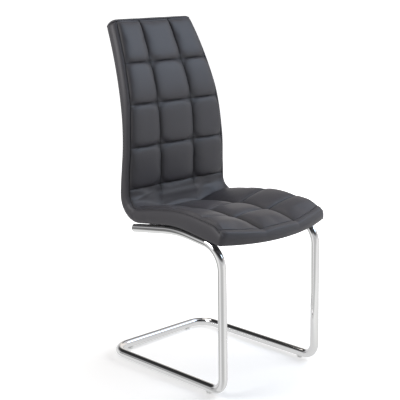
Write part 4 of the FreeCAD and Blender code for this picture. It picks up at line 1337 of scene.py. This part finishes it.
def across_seat(u, y):
    """Drawn x for the place u: 1 is a channel, 2 the inside of the rail, 3 the side seam."""
    shoulder = seat_half(y) - SHOULDER_IN
    rim = seam_half(y) - BORDER_T - 2 * GAP
    if u <= 1:
        return u * CHANNEL_X
    if u <= 2:
        return CHANNEL_X + (u - 1) * (shoulder - CHANNEL_X)
    return shoulder + (u - 2) * (rim - shoulder)


def seat_base(u, s):
    """Height of the seat where it is sewn down."""
    dish = follow(s, DISH)
    rise = math.sin(clamp((u - 1) / (CREST_AT - 1)) * math.pi / 2)
    drop = CREST_DROP * clamp((u - CREST_AT) / (3 - CREST_AT)) ** 2
    return dish + (edge_height(s) + CREST_DROP - dish) * rise - drop


def seat_seams(u):
    """Stations of the nose seam, the two cross seams and the crease, at one place across."""
    start = nose_station(across_seat(abs(u), SHELL_FRONT)) + NOSE_DEPTH
    return [start] + [(y - SHELL_FRONT) / math.cos(SLOPE) for y in SEAT_ROW_YS] + [S_CREASE - GAP]


def seat_place(u, v):
    """Seams, row and station of a place: v counts rows from 0 at the nose to 3 at the crease."""
    seams = seat_seams(u)
    row = min(2, int(v))
    return seams, row, seams[row] + (seams[row + 1] - seams[row]) * (v - row)


print("seat seams in the middle", [round(s) for s in seat_seams(0)])

# %% Seat surface
def seat_column(a):
    """Fullness across the seat's columns, which dies away on the outer pillows' crest."""
    if a <= 1:
        return swell((a + 1) / 2)
    return swell((a - 1) / (CREST_AT - 1)) * (1 - 0.45 * ease((a - 1.7) / 0.6))


def seat_roll(a):
    """Drop of the cover next to the side border."""
    return RIM_ROLL * groove((3 - a) * RIM_SCALE, 3.5)


def seat_point(u, v):
    """Drawn point of the seat's cover at place u and row place v."""
    a = abs(u)
    seams, row, s = seat_place(u, v)
    up = v - row
    low, high = seams[row], seams[row + 1]
    column = seat_column(a)
    dip = COLUMN_DIP * (1 - column) if a < DIP_UNTIL else 0.0
    row_share = clamp((ROW_END - a) / (ROW_END - DIP_UNTIL))
    near_low = groove(s - low, SEAT_DIP_SIZE) if row else 0.0
    near_high = groove(high - s, SEAT_DIP_SIZE) if row < 2 else 0.0
    row_dip = ROW_DIP * row_share * max(near_low, near_high)
    crown = (SEAT_CROWN if a <= 1 else OUTER_CROWN) * column * (NOSE_SWELL if row == 0 else 1.0)
    middle = seat_base(a, (low + high) / 2)
    lift = max(0.0, (seat_base(a, low) + seat_base(a, high)) / 2 - middle)
    full = swell(up)
    if row == 0 and up < NOSE_FROM:
        full = NOSE_FULL + (1 - NOSE_FULL) * fullness(up, 2.0)
    n = seat_base(a, s) + lift * fullness(up, LIFT_SHAPE) + crown * full - dip - row_dip - seat_roll(a)
    y, z = over_sole(s, 0, n)[1:]
    return math.copysign(across_seat(a, y), u), y, z


def seat_floor(u, v):
    """Point of the pad's underside, which lies on the foam, the rails and the front border."""
    a = abs(u)
    s = seat_place(u, v)[2]
    n = RAIL_TOP if a > RAIL_FROM else FOAM_TOP
    if s < FRONT_FLOOR_END:
        n = FRONT_FLOOR
    y, z = over_sole(s, 0, n)[1:]
    return math.copysign(across_seat(a, y), u), y, z


def seat_columns():
    """Places across the seat, crowded beside the channels and at the rims."""
    middle = [-1 + n * 2 for n in NEAR_SEAM]
    middle += [-0.8 + 1.6 * i / 10 for i in range(1, 10)]
    middle += [1 - n * 2 for n in reversed(NEAR_SEAM)]
    outer = [1 + n * 1.35 for n in NEAR_SEAM[1:]]
    outer += [1.135 + (CREST_AT - 1.135) * i / 11 for i in range(1, 12)]
    outer += [2.48, 2.6, 2.72, 2.82, 2.9, 2.96, 3.0]
    return [-u for u in reversed(outer)] + middle + outer


def seat_rows():
    """Row places of the grid lines, crowded at the seams."""
    rows = [0.0]
    for row, length in enumerate((105.0, 110.0, 175.0)):
        steps = lines_between(0.0, length, 7.0)
        rows += [row + step / length for step in steps[1:]]
    return rows


seat_us = seat_columns()
seat_vs = seat_rows()
print("seat sheet", len(seat_us), "by", len(seat_vs), "lines")

# %% [markdown]
# ## Sewing the seat
# The same helper sews the seat. Its cross seams end on the crest of the outer pillows. Shade
# is painted along its seams and rim, and the rear row gets a painted shadow along the crease,
# where the back shades it.

# %% Make the quilted seat
# Painted shadow of the back along the seat's crease, and how far it reaches.
CREASE_PAINTED_SHADOW, CREASE_REACH = 0.6, 28.0


def seat_look(u, v):
    """Whether a place of the seat is sewn down, and how much shade is painted on it."""
    a = abs(u)
    seams, _, s = seat_place(u, v)
    on_rim = a > 2.95 or v < 0.001 or v > 2.999
    on_channel = abs(a - 1) < 0.001
    on_row = abs(v - round(v)) < 0.0001 and a < ROW_END
    x = across_seat(a, over_sole(s, 0, 30)[1])
    reach = clamp((CREST_AT + 0.5 - a) / 0.5)
    channel = channel_painted_shade(abs(x - CHANNEL_X))
    cross = row_painted_shade(min(abs(s - seam) for seam in seams[1:])) * reach
    edge = groove((3 - a) * RIM_SCALE, 2.5) * 0.3
    front = groove(abs(s - seams[0]), 2.0) * 0.15
    # painted shadow of the back along the crease
    broad_painted_shade = CREASE_PAINTED_SHADOW * groove(seams[3] - s, CREASE_REACH) * clamp((CREST_AT - a) / 0.6)
    return on_rim or on_channel or on_row, max(channel, cross, edge, front, broad_painted_shade)


quilted_seat = make_panel("quilted_seat", seat_us, seat_vs, seat_point, seat_floor, seat_look)
print("quilted seat", len(quilted_seat.data.polygons), "faces")

# %% [markdown]
# ## Finishing the panels
# Both panels are refined once, so that their outlines are round from close by. The helper
# dress gives a piece its finish. It also hides the drawn part that the piece stands for, and
# makes the piece move with the whole chair.

# %% Finish the two quilted panels
def refine(piece, levels):
    """Smooth faces and a subdivision that is the same in the view and in the render."""
    piece.data.shade_smooth()
    fine = piece.modifiers.new("fine", "SUBSURF")
    fine.levels = levels
    fine.render_levels = levels


def dress(piece, node, material):
    """Finish of a piece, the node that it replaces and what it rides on."""
    give_finish(piece, material)
    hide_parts(node)
    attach(piece, "root")


for piece, node in ((quilted_back, "quilted_back_panel"), (quilted_seat, "quilted_seat_panel")):
    refine(piece, 1)
    dress(piece, node, leather)
print("panels replaced")

# %% [markdown]
# ## Side borders
# A plain strip of leather closes each side from the front corner round to the top. It is
# padded out a little between its two seams along the seat, and more beside the back and the
# top. Where the shell turns the corner the spare leather folds. The strip is a grid along
# the sole line, thickened inwards by Solidify.

# %% Side border surface
BORDER_ROLL = 2.2
SEAT_PUFF = 4.0
BACK_PUFF = 10.5
TOP_PUFF = 12.5
PUFF_SHAPE = 2.4
SEAM_SINK = 1.6
SEAM_SIZE = 2.5
CORNER_ROUND = 5.0
BORDER_SHARES = [0.0, 0.03, 0.08, 0.16, 0.28, 0.42, 0.58, 0.72, 0.84, 0.92, 0.97, 1.0]
BORDER_STEPS = 170
BORDER_FOLDS = [
    (S_CORNER + 20, 6.0, 0.9, 16.0), (S_CORNER + 48, 7.0, 1.1, -10.0), (S_CORNER + 78, 6.0, 1.0, 8.0),
    (S_CORNER - 40, 9.0, 0.6, 20.0), (S_LUMBAR + 60, 9.0, 0.6, -14.0),
]


def border_puff(s):
    """How far the strip bulges outwards, which grows from the seat up to the top."""
    low = SEAT_PUFF + (BACK_PUFF - SEAT_PUFF) * ease((s - S_CORNER + 120) / 200)
    return low + (TOP_PUFF - BACK_PUFF) * clamp((s - S_LUMBAR) / (SOLE_LENGTH - S_LUMBAR))


def round_off(distance, radius):
    """How far a surface has turned back, at a distance from its rounded edge."""
    left = max(0.0, radius - distance)
    return radius - math.sqrt(radius ** 2 - left ** 2)


def border_fold(share, s):
    """Depth of the folds, each a slanting line at a station, with its width, depth and lean."""
    fold = 0.0
    for at, width, depth, lean in BORDER_FOLDS:
        off = s - at - lean * (share - 0.5)
        fold += depth * groove(off, width) * fullness(share, 2.0)
    return fold


def border_point(side, share, s):
    """Outer face of a side border: share goes from the lower seam to the upper one."""
    high = edge_height(s)
    puff = border_puff(s) * fullness(share, PUFF_SHAPE)
    tuck = BORDER_ROLL * (groove(share * high, SEAM_SIZE) + groove((1 - share) * high, SEAM_SIZE))
    corner = round_off(s, CORNER_ROUND)
    out = half_width(s) - seam_inset(s) * share + puff - tuck - border_fold(share, s) - corner
    return over_sole(s, side * out, high * share - SEAM_SINK * groove((1 - share) * high, SEAM_SIZE))


print("puff beside the seat and at the top", border_puff(0), border_puff(SOLE_LENGTH))

# %% [markdown]
# A sheet has one face to each side, and Solidify adds its thickness behind them. So each
# sheet is first turned to look outwards, which the sum of its face directions tells.

# %% Make the side borders
LEATHER_WALL = 0.0028
border_stations = [(SOLE_LENGTH - BORDER_T - GAP) * i / BORDER_STEPS for i in range(BORDER_STEPS + 1)]


def face_outwards(piece, outward):
    """Turns an open sheet so that its faces look the given way."""
    bm = bmesh.new()
    bm.from_mesh(piece.data)
    if sum(face.normal.dot(outward) * face.calc_area() for face in bm.faces) < 0:
        bmesh.ops.reverse_faces(bm, faces=bm.faces[:])
    bm.to_mesh(piece.data)
    bm.free()


def thicken(piece, thickness):
    """Wall behind the faces of a sheet."""
    wall = piece.modifiers.new("wall", "SOLIDIFY")
    wall.thickness = thickness
    wall.offset = -1.0
    wall.use_even_offset = False


def border_painted_shade(column, row):
    """Painted shade beside the two seams of a side border, at a column and row of its grid."""
    share, high = BORDER_SHARES[column], edge_height(border_stations[row])
    return 0.6 * max(groove(share * high, 1.8), groove((1 - share) * high, 1.8))


for name, node, side in (
    ("side_strip_right", "side_border_right", -1), ("side_strip_left", "side_border_left", 1),
):
    strip, order = sheet_piece(
        name, BORDER_SHARES, border_stations, lambda share, s: border_point(side, share, s))
    write_painted_shade(strip, lambda index: border_painted_shade(*order[index]))
    face_outwards(strip, Vector((side, 0, 0)))
    thicken(strip, LEATHER_WALL)
    refine(strip, 1)
    dress(strip, node, leather_side)
    print(name, len(strip.data.polygons), "faces")

# %% [markdown]
# ## Front and top borders
# The front border is one strip under the nose, with its seam to the quilting on top and a
# hem below. Round the two front corners it runs back to meet the side borders. The top
# border rolls over the upper edge. Both are short grids like the sides.

# %% Front border
CORNER_FROM, CORNER_SPAN = 2.6, 0.4
CORNER_SET = 0.6
CORNER_DEPTH = 18.5
CORNER_DRAW = 1.2
NOSE_SAG = 7.0


def front_path(a):
    """Station and height of the strip at place a, from its hem round the nose to its seam."""
    end = ease((a - CORNER_FROM) / CORNER_SPAN)
    nose = nose_station(across_seat(a, SHELL_FRONT)) * (1 - end) + CORNER_SET * end
    seam = nose + NOSE_DEPTH * (1 - end) + CORNER_DEPTH * end
    crown = SEAT_CROWN if a <= 1 else OUTER_CROWN
    high = seat_base(a, seam) - 0.6 + crown * NOSE_SWELL * NOSE_FULL * seat_column(a) * (1 - end)
    sag = NOSE_SAG * nose / -NOSE_BULGE
    return [
        (seam, 0.0), (nose + 4.0, -sag), (nose, (high - sag) * 0.3), (nose, (high - sag) * 0.6),
        (nose + 7.0, high * 0.93), (seam - 4.0, high + 0.2), (seam + 1.5, high - 1.2),
    ]


def front_point(u, t):
    """Front border: t runs from the lower rear edge round the nose up to the seam."""
    a = abs(u)
    path = front_path(a)
    k = min(len(path) - 2, int(t))
    w = t - k
    s = path[k][0] + (path[k + 1][0] - path[k][0]) * w
    n = path[k][1] + (path[k + 1][1] - path[k][1]) * w
    share = clamp(n / FRONT_EDGE)
    puff = SEAT_PUFF * fullness(share, PUFF_SHAPE)
    corner_x = SEAT_FRONT_HALF - SEAM_IN_FRONT * share + puff - CORNER_DRAW
    inner = across_seat(min(a, CORNER_FROM), over_sole(s, 0, n)[1])
    edge = inner + (corner_x - inner) * (a - CORNER_FROM) / CORNER_SPAN
    if a < CORNER_FROM:
        edge = across_seat(a, 0)
    s += round_off(max(0.0, corner_x - edge), CORNER_ROUND)
    y, z = over_sole(s, 0, n)[1:]
    if a < CORNER_FROM:
        edge = across_seat(a, y)
    return math.copysign(edge, u), y, z


front_us = [-3 + 6 * i / 60 for i in range(61)]
front_ts = [i * 0.5 for i in range(13)]
front_strip, front_order = sheet_piece("front_strip", front_us, front_ts, front_point)
face_outwards(front_strip, Vector((0, -1, 0)))
# painted shade along the upper seam, where the strip meets the quilting
write_painted_shade(front_strip, lambda index: 0.3 * groove(6 - front_ts[front_order[index][1]], 0.35))
thicken(front_strip, LEATHER_WALL)
refine(front_strip, 2)
dress(front_strip, "front_border", leather_side)
print("front border", len(front_strip.data.polygons), "faces")

# %% Top border
TOP_BULGE = 10.5
TOP_ROUND = 15.0
TOP_REACH = 12
TOP_HEIGHT = 42.0
TOP_TUCK = 0.8
TOP_INSET = 0.5


def top_point(share, t):
    """Top border: share across from -1 to 1, t over the edge from the rear seam to the front."""
    base = SOLE_LENGTH - BORDER_T
    half = half_width(base) - TOP_INSET
    x = share * (half + (TOP_PUFF - TOP_TUCK) * fullness(t, PUFF_SHAPE))
    inward = clamp((1 - abs(share)) * half / TOP_ROUND)
    bulge = TOP_BULGE * math.sqrt(1 - (1 - inward) ** 2)
    angle = math.pi * t
    end = base + bulge * math.sin(angle) ** 0.8
    u = 3 * share * half / (half - 4.0)
    across = (u + 1) / 2 if abs(u) <= 1 else (abs(u) - 1) / 2
    high = TOP_HEIGHT + BACK_CROWN * TOP_FULL * swell(across) * clamp((1 - abs(share)) * 12)
    n = high / 2 - high / 2 * math.cos(angle)
    return over_sole(min(end, SOLE_LENGTH + TOP_REACH), x, n)


def top_painted_shade(t):
    """Painted shade beside the two seams of the top border."""
    return 0.3 * max(groove(t, 0.05), groove(1 - t, 0.05))


top_ends = [0.0, 0.003, 0.010, 0.022, 0.04, 0.065, 0.09]
top_shares = [share - 1 for share in top_ends]
top_shares += [-0.87 + 1.74 * i / 40 for i in range(41)]
top_shares += [1 - share for share in reversed(top_ends)]
top_ts = [i / 14 for i in range(15)]
top_strip, top_order = sheet_piece("top_strip", top_shares, top_ts, top_point)
face_outwards(top_strip, Vector((0, 0, 1)))
write_painted_shade(top_strip, lambda index: top_painted_shade(top_ts[top_order[index][1]]))
thicken(top_strip, LEATHER_WALL)
refine(top_strip, 1)
dress(top_strip, "top_border", leather_side)
print("top border", len(top_strip.data.polygons), "faces")

# %% [markdown]
# ## Outer back and dust cover
# The outer back is one smooth skin from the corner up to the top, bowed out a little by the
# foam. The dust cover under the seat is thin woven cloth, stapled along its edges, so it
# sags slightly between them.

# %% Outer back
OUTER_START = S_CORNER + 12.0
OUTER_SET = 1.2
OUTER_BOW = 3.0
OUTER_TUCK = 1.4
OUTER_WALL = 0.0022


def outer_point(share, s):
    """Drawn point of the rear skin: share across from -1 to 1."""
    half = inside_borders(s)
    bow = OUTER_BOW * (1 - share ** 2) + OUTER_SET * (1 - abs(share) ** 8)
    tuck = OUTER_TUCK * (groove((1 - abs(share)) * half, 3.0) + groove(s - OUTER_START, 4.0))
    return over_sole(s, share * half, tuck - bow + OUTER_SET)


outer_shares = [-1, -0.99, -0.97, -0.94] + [-0.9 + 1.8 * i / 24 for i in range(25)] + [0.94, 0.97, 0.99, 1]
outer_stations = [OUTER_START + (SOLE_LENGTH - BORDER_T - GAP - OUTER_START) * i / 80 for i in range(81)]
outer_back, outer_order = sheet_piece("outer_back", outer_shares, outer_stations, outer_point)
face_outwards(outer_back, Vector((0, 1, 0)))
# painted shade along the side seams of the outer back
write_painted_shade(outer_back, lambda index: groove((1 - abs(outer_shares[outer_order[index][0]])) * 170, 2.0))
thicken(outer_back, OUTER_WALL)
refine(outer_back, 1)
dress(outer_back, "outer_back_cover", leather_side)
print("outer back", len(outer_back.data.polygons), "faces")

# %% Dust cover
DUST_SAG = 1.3
DUST_WALL = 0.0009


def dust_point(share, t):
    """Drawn point of the dust cover: share across, t from the front border to the outer back."""
    start = nose_station(share * SEAT_FRONT_HALF) + NOSE_DEPTH
    s = start + (OUTER_START - GAP - start) * t
    half = seat_half(over_sole(s, 0, 0)[1]) - BORDER_T - 2 * GAP
    y, z = over_sole(s, 0, -DUST_SAG * (1 - share ** 4) * fullness(t, 3.0))[1:]
    return share * half, y, z


dust_shares = [-1 + 2 * i / 40 for i in range(41)]
dust_ts = [i / 50 for i in range(51)]
dust_cover = sheet_piece("dust_cover", dust_shares, dust_ts, dust_point)[0]
face_outwards(dust_cover, Vector((0, 0, -1)))
thicken(dust_cover, DUST_WALL)
refine(dust_cover, 1)
dress(dust_cover, "bottom_dust_cover", dust_cloth)
print("dust cover", len(dust_cover.data.polygons), "faces")

# %% [markdown]
# ## The bent tube
# Each half of the frame is one tube, bent like the real one: a ring is pushed along the
# straight runs with extrude and turned round the bends with spin. That gives clean rings
# all along, which chrome needs, because it shows every facet. One more ring close to each
# open end keeps the end's edge sharp.

# %% Bend a tube
RING_POINTS = 40
END_RING = 0.0008


def push_ring(bm, ring, offset):
    """Extrudes a ring of edges along a straight run, and gives the new ring."""
    made = bmesh.ops.extrude_edge_only(bm, edges=ring)["geom"]
    bmesh.ops.translate(bm, verts=[g for g in made if isinstance(g, bmesh.types.BMVert)], vec=offset)
    return [g for g in made if isinstance(g, bmesh.types.BMEdge)]


def turn_ring(bm, ring, centre, axis, angle, steps):
    """Spins a ring of edges round a bend, and gives the last ring."""
    made = bmesh.ops.spin(bm, geom=ring, cent=centre, axis=axis, angle=angle, steps=steps)["geom_last"]
    return [g for g in made if isinstance(g, bmesh.types.BMEdge)]


def start_ring(bm, at, heading, radius):
    """First ring of a tube, square to its heading."""
    aim = heading.to_track_quat("Z", "Y").to_matrix().to_4x4()
    bmesh.ops.create_circle(bm, segments=RING_POINTS, radius=radius, matrix=Matrix.Translation(at) @ aim)
    return bm.edges[:]


def bend_tube(bm, corners, radii, radius, step_length):
    """Tube along runs with rounded corners, all in metres."""
    heading = (corners[1] - corners[0]).normalized()
    ring = start_ring(bm, corners[0], heading, radius)
    at = corners[0] + heading * END_RING
    ring = push_ring(bm, ring, at - corners[0])
    for i in range(1, len(corners) - 1):
        next_heading = (corners[i + 1] - corners[i]).normalized()
        angle = heading.angle(next_heading)
        reach = radii[i - 1] * math.tan(angle / 2)
        bend_start = corners[i] - heading * reach
        ring = push_ring(bm, ring, bend_start - at)
        axis = heading.cross(next_heading).normalized()
        centre = bend_start + axis.cross(heading).normalized() * radii[i - 1]
        steps = max(6, round(radii[i - 1] * angle / step_length))
        ring = turn_ring(bm, ring, centre, axis, angle, steps)
        at = corners[i] + next_heading * reach
        heading = next_heading
    before_end = corners[-1] - heading * END_RING
    ring = push_ring(bm, ring, before_end - at)
    push_ring(bm, ring, corners[-1] - before_end)
    bmesh.ops.remove_doubles(bm, verts=bm.verts[:], dist=0.00001)
    bmesh.ops.recalc_face_normals(bm, faces=bm.faces[:])
    return bm


print("points round a tube", RING_POINTS)

# %% [markdown]
# A tube's wall must look away from its own axis. The sum of face directions can't tell that,
# because half of the faces look up and half down. The volume can: with both ends closed it
# is positive only if the faces look outwards.

# %% Make the two tubes
TUBE_R = 0.0125
TUBE_WALL = 0.002
BEND_RADII = (0.400, 0.070, 0.040, 0.058)
BEND_STEP = 0.004
ARM_REAR_Y = 355.0
BASE_LENGTH = 481.0
SIDE_X = 190.5
RUNNER_Z = 16.5


def arm_height(y):
    """Height of the arm's axis at drawn y, as if its bend were sharp."""
    return ARM_PEAK_HEIGHT - abs(y - ARM_PEAK_Y) * math.tan(SLOPE)


def volume_of(piece):
    """Volume of a piece with its open ends closed, below zero if its faces look inwards."""
    bm = bmesh.new()
    bm.from_mesh(piece.data)
    bmesh.ops.holes_fill(bm, edges=[edge for edge in bm.edges if edge.is_boundary])
    volume = bm.calc_volume(signed=True)
    bm.free()
    return volume


for name, node, side in (("tube_right", "frame_tube_right", -1), ("tube_left", "frame_tube_left", 1)):
    corners = [
        place(side * SIDE_X, ARM_REAR_Y, arm_height(ARM_REAR_Y)),
        place(side * SIDE_X, ARM_PEAK_Y, ARM_PEAK_HEIGHT),
        place(side * SIDE_X, 0, arm_height(0)),
        place(side * SIDE_X, 0, RUNNER_Z),
        place(side * SIDE_X, BASE_LENGTH, RUNNER_Z),
        place(0, BASE_LENGTH, RUNNER_Z),
    ]
    tube = link(name, bend_tube(bmesh.new(), corners, BEND_RADII, TUBE_R, BEND_STEP))
    tube.data.shade_smooth()
    if volume_of(tube) < 0:
        tube.data.flip_normals()
    thicken(tube, TUBE_WALL)
    dress(tube, node, chrome)
    print(name, len(tube.data.polygons), "faces, holds", round(volume_of(tube) * 1e6), "cubic centimetres")

# %% [markdown]
# ## Plugs and glides
# A domed black plug closes each arm's rear end, and four milky glides keep the tube off the
# floor. All are turned parts, so each is a profile spun round its axis.

# %% Turned parts
def turn_profile(bm, profile, base, direction, segments):
    """Full spin of a profile of (radius, height) pairs round an axis, in millimetres."""
    fresh = [bm.verts.new((radius * MM, 0, height * MM)) for radius, height in profile]
    edges = [bm.edges.new(pair) for pair in zip(fresh[:-1], fresh[1:])]
    bmesh.ops.spin(
        bm, geom=fresh + edges, cent=(0, 0, 0), axis=(0, 0, 1), angle=math.tau, steps=segments,
        use_merge=True)
    made = [vertex for vertex in bm.verts if vertex.tag is False]
    bmesh.ops.remove_doubles(bm, verts=made, dist=0.000005)
    made = [vertex for vertex in bm.verts if vertex.tag is False]
    aim = direction.to_track_quat("Z", "Y").to_matrix().to_4x4()
    bmesh.ops.transform(bm, matrix=Matrix.Translation(base) @ aim, verts=made)
    for vertex in made:
        vertex.tag = True


def finish_turned(name, bm, node, material):
    """Object from turned parts, smooth, with its finish, in place of its drawn part."""
    bmesh.ops.recalc_face_normals(bm, faces=bm.faces[:])
    piece = link(name, bm)
    piece.data.shade_smooth()
    dress(piece, node, material)
    return piece


PLUG = [
    (0, -14.0), (9.0, -14.0), (10.2, -12.5), (10.3, 0.0), (12.4, 0.05), (12.5, 0.6), (12.0, 1.3),
    (9.0, 1.6), (0, 1.6),
]
ARM_END = Vector((0, math.cos(SLOPE), -math.sin(SLOPE)))
bm = bmesh.new()
for side in (-1, 1):
    turn_profile(bm, PLUG, place(side * SIDE_X, ARM_REAR_Y, arm_height(ARM_REAR_Y)), ARM_END, 40)
plugs = finish_turned("end_plugs", bm, "tube_end_plugs", black_plastic)
print("plugs", len(plugs.data.polygons), "faces")

# %% Glides
GLIDE = [
    (0, 0.0), (6.6, 0.0), (7.9, 0.5), (8.5, 1.6), (8.5, 3.6), (8.1, 4.0), (2.6, 4.0), (2.5, 8.0),
    (0, 9.0),
]
FRONT_GLIDE_Y = 55.0
REAR_GLIDE_X = SIDE_X - 70.0
for name, node, centres in (
    ("glides_front", "front_glides", [(-SIDE_X, FRONT_GLIDE_Y), (SIDE_X, FRONT_GLIDE_Y)]),
    ("glides_rear", "rear_glides", [(-REAR_GLIDE_X, BASE_LENGTH), (REAR_GLIDE_X, BASE_LENGTH)]),
):
    bm = bmesh.new()
    for x, y in centres:
        turn_profile(bm, GLIDE, place(x, y, 0), Vector((0, 0, 1)), 36)
    glides = finish_turned(name, bm, node, clear_glide)
